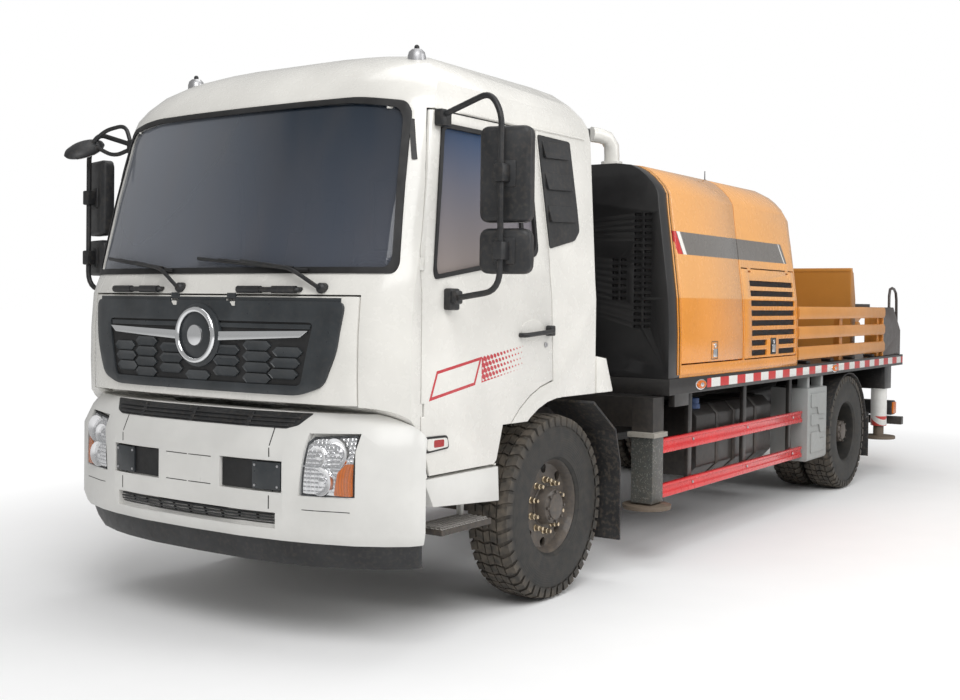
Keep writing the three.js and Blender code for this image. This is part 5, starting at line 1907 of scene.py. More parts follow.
@dataclass
class CabSide:
    """What is on both sides of the cab: glass, seals, louvres, handles, lamps and drip rails."""

    window: list[Point] = field(default_factory=lambda: local([
        (1.150, 1.752), (1.160, 1.790), (1.062, 2.462), (1.040, 2.480), (0.330, 2.486), (0.312, 2.470),
        (0.252, 1.930), (0.275, 1.896), (0.420, 1.860)]))
    louvres: list[Point] = field(default_factory=lambda: rounded(local([
        (0.120, 1.930), (-0.150, 1.985), (-0.205, 2.040), (-0.130, 2.538), (0.208, 2.540)]), 0.02))

    def window_grown(self, gap: float) -> list[Point]:
        """Returns the window outline grown by a gap.

        Args:
            gap: How far out it grows; negative shrinks it.

        Returns:
            The grown outline.
        """
        centre = Vector((sum(p[0] for p in self.window), sum(p[1] for p in self.window))) / len(self.window)
        result = []
        for p in self.window:
            away = Vector(p) - centre
            result.append((p[0] + gap * math.copysign(1.0, away.x), p[1] + gap * math.copysign(1.0, away.y)))
        return rounded(result, 0.02)

    def build(self) -> None:
        """Builds the left side and mirrors each piece."""
        door = Skin("door_left")
        for piece, finish, body in self.pieces(door):
            piece.dress_pair(finish, body)

    def pieces(self, door: Skin) -> list[tuple[Piece, Finish, str]]:
        """Returns the left side's pieces with their finish and body.

        Args:
            door: The left door's skin.

        Returns:
            Each piece with its finish and body.
        """
        made: list[tuple[Piece, Finish, str]] = []
        face = cab_side
        glass = overlay("door_glass_left", self.window_grown(0.004), Axis.Y, face, -0.012, 0.017, 0.15)
        made.append((glass, F.SIDE_GLASS, "door_left"))
        seal = overlay("door_glass_seal_left", self.window_grown(0.012), Axis.Y, face, 0.006, 0.014, 0.06)
        seal.cut(overlay("hole", self.window_grown(-0.010), Axis.Y, face, 0.08, 0.08, 0.06))
        made.append((seal.bevel(0.002, 1, 40), F.RUBBER_TRIM, "door_left"))
        bar = overlay("door_glass_bar_left", local([(0.355, 1.88), (0.380, 1.875), (0.452, 2.484),
                                                    (0.427, 2.484)]),
                      Axis.Y, face, 0.000, 0.014, 0.2)
        made.append((bar, F.RUBBER_TRIM, "door_left"))
        side = cab_side
        made.append((self.louvre_panel(side), F.PLASTIC, "cab"))
        made += self.handle(follow(door, Axis.Y))
        made += self.lamp(follow(door, Axis.Y))
        rail = [Vector((x + AXLE, side(x + AXLE, z) + 0.004, z)) for x, z in
                ((1.235, 2.556), (0.9, 2.562), (0.5, 2.566), (0.1, 2.570), (-0.300, 2.574))]
        made.append((Piece.tube("drip_rail_left", rail, 0.006, 0.02, 2), F.CAB, "cab"))
        return made

    def louvre_panel(self, side: Surface) -> Piece:
        """Returns the quarter panel with its three raised louvres.

        Args:
            side: Gives the cab side's place across at (x, z).

        Returns:
            The panel.
        """
        panel = overlay("quarter_louvres_left", self.louvres, Axis.Y, side, 0.006, 0.004, 0.08)
        slats = []
        for low in (2.088, 2.262, 2.432):
            z0, z1 = low, low + 0.088
            lean = (z0 - 1.99) * 0.155
            outline = local([(-0.168 + lean, z0), (0.108 + lean * 0.7, z0 - 0.012),
                             (0.122 + lean * 0.7, z1 - 0.010), (-0.150 + lean, z1)])
            slat = overlay("louvre", rounded(outline, 0.010), Axis.Y, side, 0.009, 0.0, 0.2)

            def wedge() -> None:
                """Insets the outer face."""
                bpy.ops.mesh.inset(thickness=0.006)

            slat.edit(lambda f: f.normal.y > 0.6, wedge)
            middle = (z0 + z1) / 2
            for vertex in slat.obj.data.vertices:
                outer = vertex.co.y > side(vertex.co.x, vertex.co.z) + 0.004
                if outer and vertex.co.z < middle:
                    vertex.co.y += 0.012
            slats.append(slat)
        return panel.add(*slats).bevel(0.0015, 1, 40)

    def handle(self, side: Surface) -> list[tuple[Piece, Finish, str]]:
        """Returns the door handle over its scoop, and the lock.

        Args:
            side: Gives the cab side's place across at (x, z).

        Returns:
            Each piece with its finish and body.
        """
        x0, x1, z = 0.135 + AXLE, 0.430 + AXLE, 1.478
        y = side((x0 + x1) / 2, z)
        scoop = overlay("door_scoop_left", ellipse(x0 + 0.165, z + 0.012, 0.115, 0.056, 36), Axis.Y, side,
                        0.0025, 0.004, 0.2)
        bar = Piece.tube("door_handle_left", [
            Vector((x1, y - 0.01, z - 0.012)), Vector((x1 - 0.012, y + 0.034, z - 0.012)),
            Vector((x0 + 0.012, y + 0.040, z + 0.006)), Vector((x0, y - 0.01, z + 0.008))], 0.0125, 0.03, 4)
        boss = overlay("boss", rounded(rectangle(x0 - 0.014, x0 + 0.036, z - 0.020, z + 0.036), 0.01), Axis.Y,
                       side, 0.034, 0.002, 0.2)
        bar.add(boss.bevel(0.006, 2, 40))
        lock = Piece.turned("door_lock_left", [(0.0, -0.004), (0.015, -0.004), (0.014, 0.006), (0.006, 0.008),
                                               (0.0, 0.006)],
                            Axis.Y, Vector((0.172 + AXLE, side(0.172 + AXLE, 1.410), 1.410)), 20)
        return [(scoop.bevel(0.0015, 1, 40), F.CAB, "door_left"), (bar, F.PLASTIC, "door_left"),
                (lock, F.STEEL, "door_left")]

    def lamp(self, side: Surface) -> list[tuple[Piece, Finish, str]]:
        """Returns the side lamp low on the door, in its frame.

        Args:
            side: Gives the cab side's place across at (x, z).

        Returns:
            Each piece with its finish and body.
        """
        outline = local([(1.045, 0.936), (1.060, 1.000), (1.235, 1.004), (1.250, 0.946), (1.225, 0.926)])
        frame_ = overlay("side_lamp_frame_left", rounded(outline, 0.02), Axis.Y, side, 0.006, 0.003, 0.3)
        inner = local([(1.062, 0.944), (1.072, 0.990), (1.222, 0.994), (1.234, 0.950), (1.215, 0.936)])
        lens = overlay("side_lamp_left", rounded(inner, 0.014), Axis.Y, side, 0.014, 0.0, 0.3)
        glow = overlay("side_lamp_reflector_left",
                       rounded(local([(1.10, 0.950), (1.10, 0.984), (1.18, 0.986), (1.18, 0.950)]), 0.01),
                       Axis.Y, side, 0.0145, 0.0, 0.3)
        return [(frame_.bevel(0.002, 1, 40), F.RUBBER_TRIM, "door_left"),
                (lens.bevel(0.004, 2, 40), F.CAB, "door_left"),
                (glow, F.RED_LENS, "door_left")]


@dataclass
class Mirror:
    """An outside mirror: bent tube, two rounded heads with their clamps, and its feet."""

    tube_radius: float = 0.0145
    head_turn: float = 0.28
    heads: tuple[tuple[float, float, float, float], ...] = (
        (2.226, 0.125, 0.222, 0.045), (1.872, 0.125, 0.105, 0.050))

    def head(self, z: float, half_w: float, half_h: float, corner: float) -> tuple[Piece, Piece]:
        """Returns a head's shell and its glass, in place on the left side.

        Args:
            z: The head's middle height.
            half_w: Half its width.
            half_h: Half its height.
            corner: Radius of its corners.

        Returns:
            Its shell and its glass.
        """
        centre = at(1.052, 1.455, z)
        outline = rounded(rectangle(-half_w, half_w, -half_h, half_h), corner, 6)
        shell = Piece.slab("head", outline, Axis.X, -0.030, 0.032)

        def crown() -> None:
            """Insets the back and raises it."""
            bpy.ops.mesh.inset(thickness=0.022, depth=0.012)

        shell.edit(lambda f: f.normal.x > 0.9, crown)
        shell.bevel(0.012, 3, 40)
        frame_ = Piece.slab("dish", rounded(rectangle(-0.055, 0.055, -0.062, 0.062), 0.014), Axis.X, 0.030,
                            0.050)
        shell.add(frame_.bevel(0.005, 2, 40))
        inner = rounded(rectangle(-half_w + 0.012, half_w - 0.012, -half_h + 0.012, half_h - 0.012),
                        corner * 0.8, 6)
        glass = Piece.slab("glass", inner, Axis.X, -0.0325, -0.029)
        turn = Matrix.Translation(centre) @ Matrix.Rotation(self.head_turn, 4, "Z")
        return shell.shift(turn), glass.shift(turn)

    def build_left(self) -> tuple[Piece, Piece]:
        """Returns the left mirror's body and its glass.

        Returns:
            The body and the glass.
        """
        path = [at(1.062, 1.150, 1.650), at(1.130, 1.470, 1.690), at(1.130, 1.470, 2.500),
                at(1.120, 1.400, 2.600), at(1.100, 1.118, 2.520)]
        body = Piece.tube("mirror_left_body", path, self.tube_radius, 0.10, 4)
        glasses = []
        for z, half_w, half_h, corner in self.heads:
            shell, glass = self.head(z, half_w, half_h, corner)
            clamp = Piece.block("clamp", at(1.075, 1.444, z - 0.042),
                                at(1.156, 1.496, z + 0.042)).bevel(0.008, 2, 40)
            body.add(shell, clamp)
            glasses.append(glass)
        low = Piece.block("foot", at(1.020, 1.128, 1.596), at(1.100, 1.172, 1.700)).bevel(0.010, 2, 40)
        knuckle = Piece.block("knuckle", at(1.035, 1.165, 1.625), at(1.095, 1.200, 1.690)).bevel(0.010, 2, 40)
        high = Piece.block("foot", at(1.052, 1.084, 2.468), at(1.130, 1.136, 2.548)).bevel(0.010, 2, 40)
        body.add(low, knuckle, high)
        return body, glasses[0].add(*glasses[1:])

    def kerb(self) -> tuple[Piece, Piece]:
        """Returns the right side's kerb mirror on its bent tubes, and its glass.

        Returns:
            The body and the glass.
        """
        bar = Piece.tube("mirror_kerb_body", [at(1.100, -1.125, 2.515), at(1.100, -1.180, 2.640),
                                              at(1.150, -1.300, 2.610), at(1.190, -1.370, 2.530)], 0.012,
                         0.05, 3)
        stay = Piece.tube("stay", [at(1.190, -1.360, 2.525), at(1.140, -1.230, 2.455),
                                   at(1.100, -1.125, 2.500)], 0.012, 0.06, 3)
        profile = [(0.0, 0.030), (0.030, 0.029), (0.070, 0.021), (0.098, 0.008), (0.105, -0.004),
                   (0.100, -0.010), (0.0, -0.010)]
        bowl = Piece.turned("bowl", profile, Axis.Z, Vector((0, 0, 0)), 40)
        glass = Piece.turned("mirror_kerb_glass",
                             [(0.0, -0.0105), (0.098, -0.0105), (0.096, -0.014), (0.0, -0.020)], Axis.Z,
                             Vector((0, 0, 0)), 40)
        place = Matrix.Translation(at(1.220, -1.395, 2.500)) @ Matrix.Rotation(0.45, 4,
                "Y") @ Matrix.Rotation(-0.30, 4, "X")
        stretch = place @ Matrix.Diagonal((1.28, 0.80, 1.3, 1.0))
        return bar.add(stay, bowl.shift(stretch)), glass.shift(stretch)

    def build(self) -> None:
        """Builds both mirrors."""
        body, glass = self.build_left()
        other = body.other_side("mirror_right_body")
        other_glass = glass.other_side("mirror_right_glass")
        glass.obj.name = "mirror_left_glass"
        body.dress(F.PLASTIC, "door_left", ["mirror_left"])
        glass.dress(F.MIRROR, "door_left")
        kerb, kerb_glass = self.kerb()
        other.add(kerb).dress(F.PLASTIC, "door_right", ["mirror_right"])
        other_glass.add(kerb_glass).dress(F.MIRROR, "door_right")


@dataclass
class CabRoof:
    """The two lamps on the roof."""

    lamp_place: tuple[float, float] = (0.905, 0.803)

    def build(self) -> None:
        """Builds the two roof lamps."""
        skin = Skin("cab_shell")
        x, y = self.lamp_place[0] + AXLE, self.lamp_place[1]
        z = skin.depth(Axis.Z, x, y) or 2.84
        base = Piece.turned("roof_lamp_left", [(0.0, -0.02), (0.046, -0.02), (0.046, 0.014), (0.040, 0.034),
                                               (0.026, 0.047), (0.0, 0.050)],
                            Axis.Z, Vector((x, y, z)), 28)
        stud = Piece.turned("roof_lamp_stud_left",
                            [(0.0, 0.047), (0.013, 0.047), (0.013, 0.062), (0.007, 0.070), (0.0, 0.071)],
                            Axis.Z, Vector((x, y, z)), 20)
        base.other_side("roof_lamp_right").dress(F.STEEL, "cab")
        stud.other_side("roof_lamp_stud_right").dress(F.PLASTIC, "cab")
        base.dress(F.STEEL, "cab")
        stud.dress(F.PLASTIC, "cab")


@dataclass
class CabOpenings:
    """The rear window and the dark deflector slots on the windshield posts."""

    half: float = 0.560
    low: float = 1.960
    high: float = 2.430
    back: float = -0.420

    def build(self) -> None:
        """Builds the rear glass, its seal and the two slots."""
        def pane(name: str, grow: float, outer: float, inner: float) -> Piece:
            """Returns one pane, grown or shrunk."""
            outline = rounded(rectangle(-self.half - grow, self.half + grow, self.low - grow,
                                        self.high + grow), 0.03)
            return Piece.slab(name, outline, Axis.X, at(self.back + outer, 0, 0).x,
                              at(self.back + inner, 0, 0).x)

        pane("rear_glass", -0.002, 0.010, 0.015).dress(F.SIDE_GLASS, "cab")
        seal = pane("rear_glass_seal", 0.018, -0.005, 0.022)
        seal.cut(pane("hole", -0.016, -0.1, 0.1)).bevel(0.0015, 1, 40).dress(F.RUBBER_TRIM, "cab")
        slot = overlay("post_slot_left", rounded([(0.997, 2.498), (1.018, 2.498), (1.060, 2.300),
                                                  (1.040, 2.300)], 0.006),
                       Axis.X, cab_front, 0.006, 0.006, 0.03)
        slot.other_side("post_slot_right").dress(F.PLASTIC, "cab")
        slot.dress(F.PLASTIC, "cab")


@dataclass
class DarkSeams:
    """Rubber behind the gaps round the doors."""

    door: list[Point] = field(default_factory=lambda: local([
        (1.195, 0.818), (1.262, 1.042), (1.262, 1.863), (1.140, 2.545), (0.228, 2.552), (0.128, 1.907),
        (0.092, 1.216)]))

    def build(self) -> None:
        """Builds a dark strip under each gap."""
        depth = cab_side
        strips = []
        count = len(self.door)
        for i in range(count - 1):
            a, b = Vector(self.door[i]), Vector(self.door[i + 1])
            along = (b - a).normalized()
            side = Vector((along.y, -along.x)) * 0.013
            outline = [tuple(a - along * 0.008 - side), tuple(b + along * 0.008 - side),
                       tuple(b + along * 0.008 + side), tuple(a - along * 0.008 + side)]
            strips.append(overlay("door_seam_left", outline, Axis.Y, depth, -0.010, 0.020, 0.08))
        whole = strips[0].add(*strips[1:])
        whole.other_side("door_seam_right").dress(F.RUBBER_TRIM, "cab")
        whole.dress(F.RUBBER_TRIM, "cab")


@dataclass
class Seats:
    """The driver's seat and the wide passenger seat, padded."""

    def build(self) -> None:
        """Builds both seats from the CAD shapes, rounded and crowned."""
        for side in ("left", "right"):
            seat = Piece.cad(f"seat_{side}")
            seat.bevel(0.035, 4, 30).modify("SUBSURF", levels=1, render_levels=1)
            seat.dress(F.SEAT, "cab", [f"seat_{side}"], 60)


# ------------------------------------------------------------------ wheels
@dataclass
class Tyre:
    """A block-tread tyre round the origin, its axis along Y and its outer side at +Y."""

    radius: float = 0.510
    half: float = 0.127
    bead: float = 0.262
    blocks: int = 46
    groove: float = 0.013

    def section(self) -> list[Point]:
        """Returns the closed profile as (radius, place along the axis).

        Returns:
            The profile.
        """
        r, h, b = self.radius - self.groove, self.half, self.bead
        right = [(b - 0.004, h - 0.030), (b + 0.012, h - 0.012), (b + 0.050, h - 0.003), (b + 0.110, h),
                 (b + 0.165, h - 0.003),
                 (r - 0.040, h - 0.010), (r - 0.012, h - 0.016), (r, h - 0.034), (r + 0.001, 0.05)]
        left = [(radius, -along) for radius, along in reversed(right)]
        return [*right, (r + 0.002, 0.0), *left, (b - 0.008, 0.0)]

    def tread(self) -> Piece:
        """Returns one pitch of the tread: two shoulder lugs and three rib blocks.

        Returns:
            One pitch of the tread.
        """
        r = self.radius
        pitch = 2 * math.pi * r / self.blocks
        parts = []
        for low, high, lean, share in ((-0.126, -0.072, -0.010, 0.66), (-0.062, -0.024, 0.006, 0.80),
                                       (-0.018, 0.018, -0.006, 0.80),
                                       (0.024, 0.062, 0.006, 0.80), (0.072, 0.126, -0.010, 0.66)):
            half = pitch * share / 2
            outline = [(-half - lean, low), (half - lean, low), (half + lean, high), (-half + lean, high)]
            block = Piece.slab("block", outline, Axis.Z, r - self.groove - 0.006, r - 0.0005)
            if abs(low) > 0.1 or abs(high) > 0.1:
                for vertex in block.obj.data.vertices:
                    if abs(vertex.co.y) > 0.12:
                        vertex.co.z -= 0.014 if vertex.co.z > r - 0.01 else 0.045
                        vertex.co.y = math.copysign(min(abs(vertex.co.y),
                                                        self.half - (0.004
                                                                     if vertex.co.z > r - 0.03 else 0.001)),
                                                    vertex.co.y)
            parts.append(block)
        return parts[0].add(*parts[1:])

    def build(self, name: str) -> Piece:
        """Returns the tyre.

        Args:
            name: The piece's name.

        Returns:
            The tyre, around its own centre.
        """
        centre = Vector((0, 0, 0))
        body = Piece.turned(name, self.section(), Axis.Y, centre, 92)
        return body.add(self.tread().ring(self.blocks, Axis.Y, centre))


@dataclass
class Rim:
    """A steel disc wheel round the origin, its outer side at +Y."""

    bead: float = 0.266
    holes: int = 8
    studs: int = 10
    stud_circle: float = 0.142

    def band(self, name: str, dish: float) -> Piece:
        """Returns the rim's band and disc; dish is how far in the disc lies from the outer edge.

        Args:
            name: The piece's name.
            dish: How far in the disc lies from the outer edge.

        Returns:
            The band and disc.
        """
        b = self.bead
        edge = 0.100
        disc = edge - dish
        profile = [(b + 0.006, edge), (b + 0.012, edge - 0.004), (b + 0.008, edge - 0.014),
                   (b - 0.008, edge - 0.022), (b - 0.018, edge - 0.06),
                   (b - 0.026, -0.02), (b - 0.016, -0.085), (b + 0.004, -0.100), (b - 0.004, -0.104),
                   (b - 0.026, -0.092),
                   (b - 0.036, -0.02), (b - 0.032, disc - 0.02), (b - 0.070, disc - 0.012),
                   (0.180, disc - 0.006), (0.080, disc - 0.006), (0.080, disc + 0.004),
                   (0.178, disc + 0.004), (b - 0.066, disc - 0.002), (b - 0.034, disc + 0.001),
                   (b - 0.028, edge - 0.05), (b - 0.018, edge - 0.018), (b - 0.004, edge - 0.002)]
        return Piece.turned(name, profile, Axis.Y, Vector((0, 0, 0)), 64)

    def build(self, name: str, dish: float, hub_out: float) -> tuple[Piece, Piece, Piece]:
        """Returns the wheel, its nuts and its hub.

        Args:
            name: Start of the pieces' names.
            dish: How far in the disc lies from the rim's outer edge.
            hub_out: How far the hub stands out of the disc.

        Returns:
            The wheel, its nuts and its hub.
        """
        centre = Vector((0, 0, 0))
        disc = 0.100 - dish
        band = self.band(f"{name}_rim", dish)
        hole = Piece.turned("hole", [(0.0, disc - 0.05), (0.027, disc - 0.05), (0.027, disc + 0.05),
                                     (0.0, disc + 0.05)],
                            Axis.Y, Vector((0, 0, 0.206)), 16)
        band.cut(hole.ring(self.holes, Axis.Y, centre))
        nut = Piece.turned(f"{name}_nuts", [(0.0, disc + 0.003), (0.021, disc + 0.003), (0.021, disc + 0.008),
                                            (0.0165, disc + 0.010), (0.0165, disc + 0.032),
                                            (0.012, disc + 0.036), (0.011, disc + 0.054),
                                            (0.0, disc + 0.056)],
                           Axis.Y, Vector((0, 0, self.stud_circle)), 6)
        nuts = nut.ring(self.studs, Axis.Y, centre)
        out = disc + hub_out
        hub = Piece.turned(f"{name}_hub", [(0.0, disc - 0.01), (0.112, disc - 0.01), (0.112, disc + 0.008),
                                           (0.106, disc + 0.014), (0.100, out * 0.6 + disc * 0.4),
                                           (0.092, out - 0.014), (0.078, out - 0.004), (0.072, out - 0.004),
                                           (0.070, out + 0.004), (0.050, out + 0.010), (0.0, out + 0.012)],
                           Axis.Y, centre, 40)
        bolt = Piece.turned("bolt", [(0.0, out - 0.006), (0.008, out - 0.006), (0.008, out + 0.006),
                                     (0.0, out + 0.007)],
                            Axis.Y, Vector((0, 0, 0.084)), 6)
        hub.add(bolt.ring(8, Axis.Y, centre))
        return band, nuts, hub


@dataclass
class Wheels:
    """All the wheels: two single front ones and two rear pairs."""

    front_y: float = 0.982
    rear_y: float = 0.875
    twin: float = 0.147
    rear_x: float = -5.0

    def dress_set(self, parts: Sequence[tuple[Piece, Finish]], place: Matrix, body: str, tag: str,
                  replaces: str) -> None:
        """Places copies of a wheel's parts and dresses them."""
        for index, (part, finish) in enumerate(parts):
            piece = part.copy(f"{tag}_{part.obj.name.split('_', 1)[1]}", place)
            piece.dress(finish, body, [replaces] if index == 0 else [], 30)

    def build(self) -> None:
        """Builds each kind of wheel once and places its copies."""
        tyre = Tyre().build("w_tyre")
        rim, nuts, hub = Rim().build("w", 0.062, 0.085)
        back_rim, back_nuts, back_hub = Rim().build("w", 0.165, 0.150)
        flip = Matrix.Rotation(math.pi, 4, "Z")
        inner = tyre.copy("w_tyre_twin", Matrix.Translation((0, -self.twin, 0)))
        outer = tyre.copy("w_tyre_pair", Matrix.Translation((0, self.twin, 0))).add(inner)
        inner_rim = back_rim.copy("w_rim_twin", flip @ Matrix.Translation((0, self.twin, 0)))
        shift = Matrix.Translation((0, self.twin, 0))
        rear_set = [(outer, F.TYRE), (back_rim.shift(shift).add(inner_rim), F.WHEEL),
                    (back_nuts.shift(shift), F.BRASS), (back_hub.shift(shift), F.WHEEL)]
        front_set = [(tyre, F.TYRE), (rim, F.WHEEL), (nuts, F.BRASS), (hub, F.WHEEL)]
        for side, sign in (("left", 1), ("right", -1)):
            turn = Matrix.Identity(4) if sign > 0 else flip
            front = Matrix.Translation(at(0.0, sign * self.front_y, WHEEL_HEIGHT)) @ turn
            self.dress_set(front_set, front, f"front_wheel_{side}", f"front_{side}", f"front_wheel_{side}")
            rear = Matrix.Translation(at(self.rear_x, sign * self.rear_y, WHEEL_HEIGHT)) @ turn
            self.dress_set(rear_set, rear, f"rear_wheel_{side}", f"rear_{side}", f"rear_wheel_{side}")
        for piece in [p for p, _ in (*rear_set, *front_set)]:
            bpy.data.objects.remove(piece.obj)


# ------------------------------------------------------------------ hood
HOOD_HALF = ((1.198, 1.180), (1.198, 1.444), (1.188, 1.674), (1.159, 1.904), (1.131, 2.121), (1.116, 2.228),
             (1.102, 2.355),
             (1.075, 2.405), (1.023, 2.463), (0.971, 2.506), (0.906, 2.541), (0.800, 2.556))


def hood_side(_x: float, z: float) -> float:
    """Returns how far out the hood's left side is at a height."""
    for (low_y, low_z), (high_y, high_z) in zip(HOOD_HALF, HOOD_HALF[1:]):
        if z <= high_z:
            return low_y + (high_y - low_y) * max(0.0, z - low_z) / (high_z - low_z)
    return HOOD_HALF[-1][0]


def hood_outline(inset: float) -> list[Point]:
    """Returns the hood's section as (y, z), drawn in by an inset."""
    half = [(y - inset, z - inset * (y < 1.1)) for y, z in HOOD_HALF]
    return [*half, *[(-y, z) for y, z in reversed(half)]]


@dataclass
class HoodSides:
    """The hood's louvred doors, latches, edge line and fittings."""

    rows: int = 8
    top: float = 1.796
    pitch: float = 0.0727
    half: float = 0.0205
    front: float = -2.590
    rear: float = -3.490
    gap: Point = (-3.132, -2.890)
    whole_rows: int = 6

    def slots(self) -> Piece:
        """Returns the cutter of all the louvre slots, which reaches through both sides.

        Returns:
            The cutter.
        """
        cutters = []
        for k in range(self.rows):
            z = self.top - k * self.pitch
            spans = [(self.rear, self.front)] if k < self.whole_rows else [(self.rear, self.gap[0]),
                                                                           (self.gap[1], self.front)]
            for a, b in spans:
                slot = local(rounded(rectangle(a, b, z - self.half, z + self.half), 0.007))
                cutters.append(Piece.slab("slots", slot, Axis.Y, 1.05, 1.30))
        return cutters[0].add(*cutters[1:])

    def latch(self, name: str, x: float, z: float) -> list[tuple[Piece, Finish]]:
        """Returns a latch's dark dish and its bright paddle.

        Args:
            name: The piece's name.
            x: Place along the truck.
            z: The height.

        Returns:
            Each piece with its finish.
        """
        dish = overlay(f"{name}_dish", local(rounded(rectangle(x - 0.053, x + 0.053, z - 0.061, z + 0.061),
                                                     0.01)), Axis.Y, hood_side, 0.003, 0.002, 0.2)
        dish.edit(lambda f: f.normal.y > 0.9, lambda: bpy.ops.mesh.inset(thickness=0.007, depth=-0.004))
        paddle = overlay(f"{name}_paddle", local(rounded(rectangle(x - 0.030, x + 0.030, z - 0.046,
                                                                   z + 0.012), 0.008)), Axis.Y, hood_side,
                         0.009, 0.001, 0.2)
        knob = Piece.turned("knob", [(0.0, 1.190), (0.017, 1.190), (0.017, 1.206), (0.012, 1.209),
                                     (0.0, 1.209)],
                            Axis.Y, Vector((x + AXLE, 0.0, z + 0.034)), 18)
        return [(dish.bevel(0.0012, 2, 30), F.PLASTIC), (paddle.bevel(0.003, 2, 30).add(knob), F.CHROME)]

    def build(self) -> None:
        """Builds both sides and the fittings on the roof and the front."""
        for side in ("left", "right"):
            door = Piece.cad(f"hood_door_louvred_{side}")
            tool = self.slots()
            if side == "right":
                tool = tool.shift(Matrix.Scale(-1, 4, (0, 1, 0)))
            door.cut(tool).bevel(0.003, 2, 35)
            door.dress(F.HOOD, f"hood_door_louvred_{side}", [f"hood_door_louvred_{side}"])
        mesh_outline = local(rectangle(self.rear - 0.02, self.front + 0.02, 1.262, 1.840))
        mesh = overlay("louvre_mesh", mesh_outline, Axis.Y, hood_side, -0.014, 0.016, 0.08)
        made = [(mesh, F.MESH, "hood_door_louvred"),
                *[(p, f, "hood_door_louvred") for p, f in self.latch("louvre_latch", -3.012, 1.330)],
                *[(p, f, "hood_door_front") for p, f in self.latch("front_latch", -1.918, 1.326)]]
        for piece, finish, body in made:
            name = piece.obj.name
            other = piece.other_side(f"{name}_right")
            piece.obj.name = f"{name}_left"
            piece.dress(finish, f"{body}_left")
            other.dress(finish, f"{body}_right")
        self.front_face()
        self.fittings()

    def front_face(self) -> None:
        """Builds the black portal with its slots and the thin yellow edge behind it."""
        portal = Piece.cad("hood_frame")
        cutters = []
        for y, low, high, count in ((0.962, 1.49, 2.21, 19), (1.034, 1.49, 2.21, 19), (0.80, 1.67, 1.92, 7),
                                    (0.86, 1.67, 1.92, 7)):
            width = 0.026 if y > 0.9 else 0.022
            for k in range(count):
                z = low + (high - low) * k / (count - 1)
                for sign in (-1, 1):
                    cutters.append(Piece.slab("slots",
                                              rounded(rectangle(sign * y - width, sign * y + width, z - 0.009,
                                                                z + 0.009), 0.004, 2),
                                              Axis.X, at(-1.246, 0, 0).x, at(-1.200, 0, 0).x))
        portal.cut(cutters[0].add(*cutters[1:])).bevel(0.003, 2, 45)
        portal.dress(F.BLACK, "chassis", ["hood_frame"])
        line = Piece.slab("hood_edge_line", hood_outline(0.001), Axis.X, at(-1.356, 0, 0).x,
                          at(-1.344, 0, 0).x)
        line.cut(Piece.slab("hole", [(y, z - 0.01 if z > 1.2 else z - 0.1) for y, z in hood_outline(0.012)],
                            Axis.X, at(-1.40, 0, 0).x, at(-1.30, 0, 0).x))
        line.bevel(0.002, 2, 40).dress(F.HOOD, "chassis")

    def fittings(self) -> None:
        """Builds the lifting eye and the aerial."""
        centre = at(-1.300, 0.716, 2.556)
        eye = Piece.turned("lifting_eye", [(0.020, -0.010), (0.038, -0.010), (0.038, 0.010), (0.020, 0.010)],
                           Axis.Y, centre, 28)
        foot = Piece.block("foot", at(-1.345, 0.706, 2.492), at(-1.255, 0.726, 2.532))
        eye.add(foot).bevel(0.002, 2, 35).dress(F.HOOD, "chassis")
        aerial = Piece.turned("aerial", [(0.0, 2.536), (0.016, 2.536), (0.012, 2.552), (0.004, 2.556),
                                         (0.003, 2.616), (0.0, 2.618)],
                              Axis.Z, at(-2.470, 0.860, 0.0), 14)
        aerial.dress(F.PLASTIC, "chassis")


# ------------------------------------------------------------------ deck and sides
def pair(piece: Piece, finish: Finish, body: str = "chassis", replaces: str = "",
         angle: float = 35.0) -> None:
    """Dresses a left piece and its mirror image; a body or node that ends in _ takes the side's name.

    Args:
        piece: The left piece.
        finish: Its finish.
        body: The body; after a final _ comes the side's name.
        replaces: CAD nodes that it stands for.
        angle: Edges flatter than this, in degrees, are smooth.
    """
    name = piece.obj.name
    other = piece.other_side(f"{name}_right")
    piece.obj.name = f"{name}_left"
    for made, side in ((piece, "left"), (other, "right")):
        rides = body + side if body.endswith("_") else body
        made.dress(finish, rides, [replaces + side] if replaces else [], angle)


@dataclass
class SideGuards:
    """Red guard rails with a pressed line, on dark posts."""

    rear: float = -3.800
    front: float = -1.215

    def build(self) -> None:
        """Builds the rails and posts of both sides."""
        rails = []
        for low, high in ((0.685, 0.778), (0.400, 0.488)):
            face = 1.155
            outline = [(1.125, low), (face - 0.004, low), (face, low + 0.004), (face, low + 0.030),
                       (face - 0.009, low + 0.036),
                       (face - 0.009, high - 0.024), (face, high - 0.018), (face, high - 0.004),
                       (face - 0.004, high), (1.125, high)]
            rails.append(Piece.slab("guard_rail", outline, Axis.X, at(self.rear, 0, 0).x,
                                    at(self.front, 0, 0).x))
        bolts = [Piece.turned("bolt", [(0.0, 1.144), (0.010, 1.144), (0.010, 1.152), (0.007, 1.155),
                                       (0.0, 1.155)],
                              Axis.Y, at(x, 0.0, z), 12) for x in (-1.700, -2.650, -3.600)
                 for z in (0.738, 0.450)]
        posts = [Piece.block("guard_post", at(x - 0.030, 1.095, 0.410),
                             at(x + 0.030, 1.1255, 1.1395)).bevel(0.005, 2, 40)
                 for x in (-1.700, -2.650, -3.600)]
        pair(rails[0].add(rails[1]).bevel(0.0015, 2, 30), F.RED, "chassis", "side_guard_")
        pair(posts[0].add(*posts[1:]), F.BLACK)
        pair(bolts[0].add(*bolts[1:]), F.STEEL)


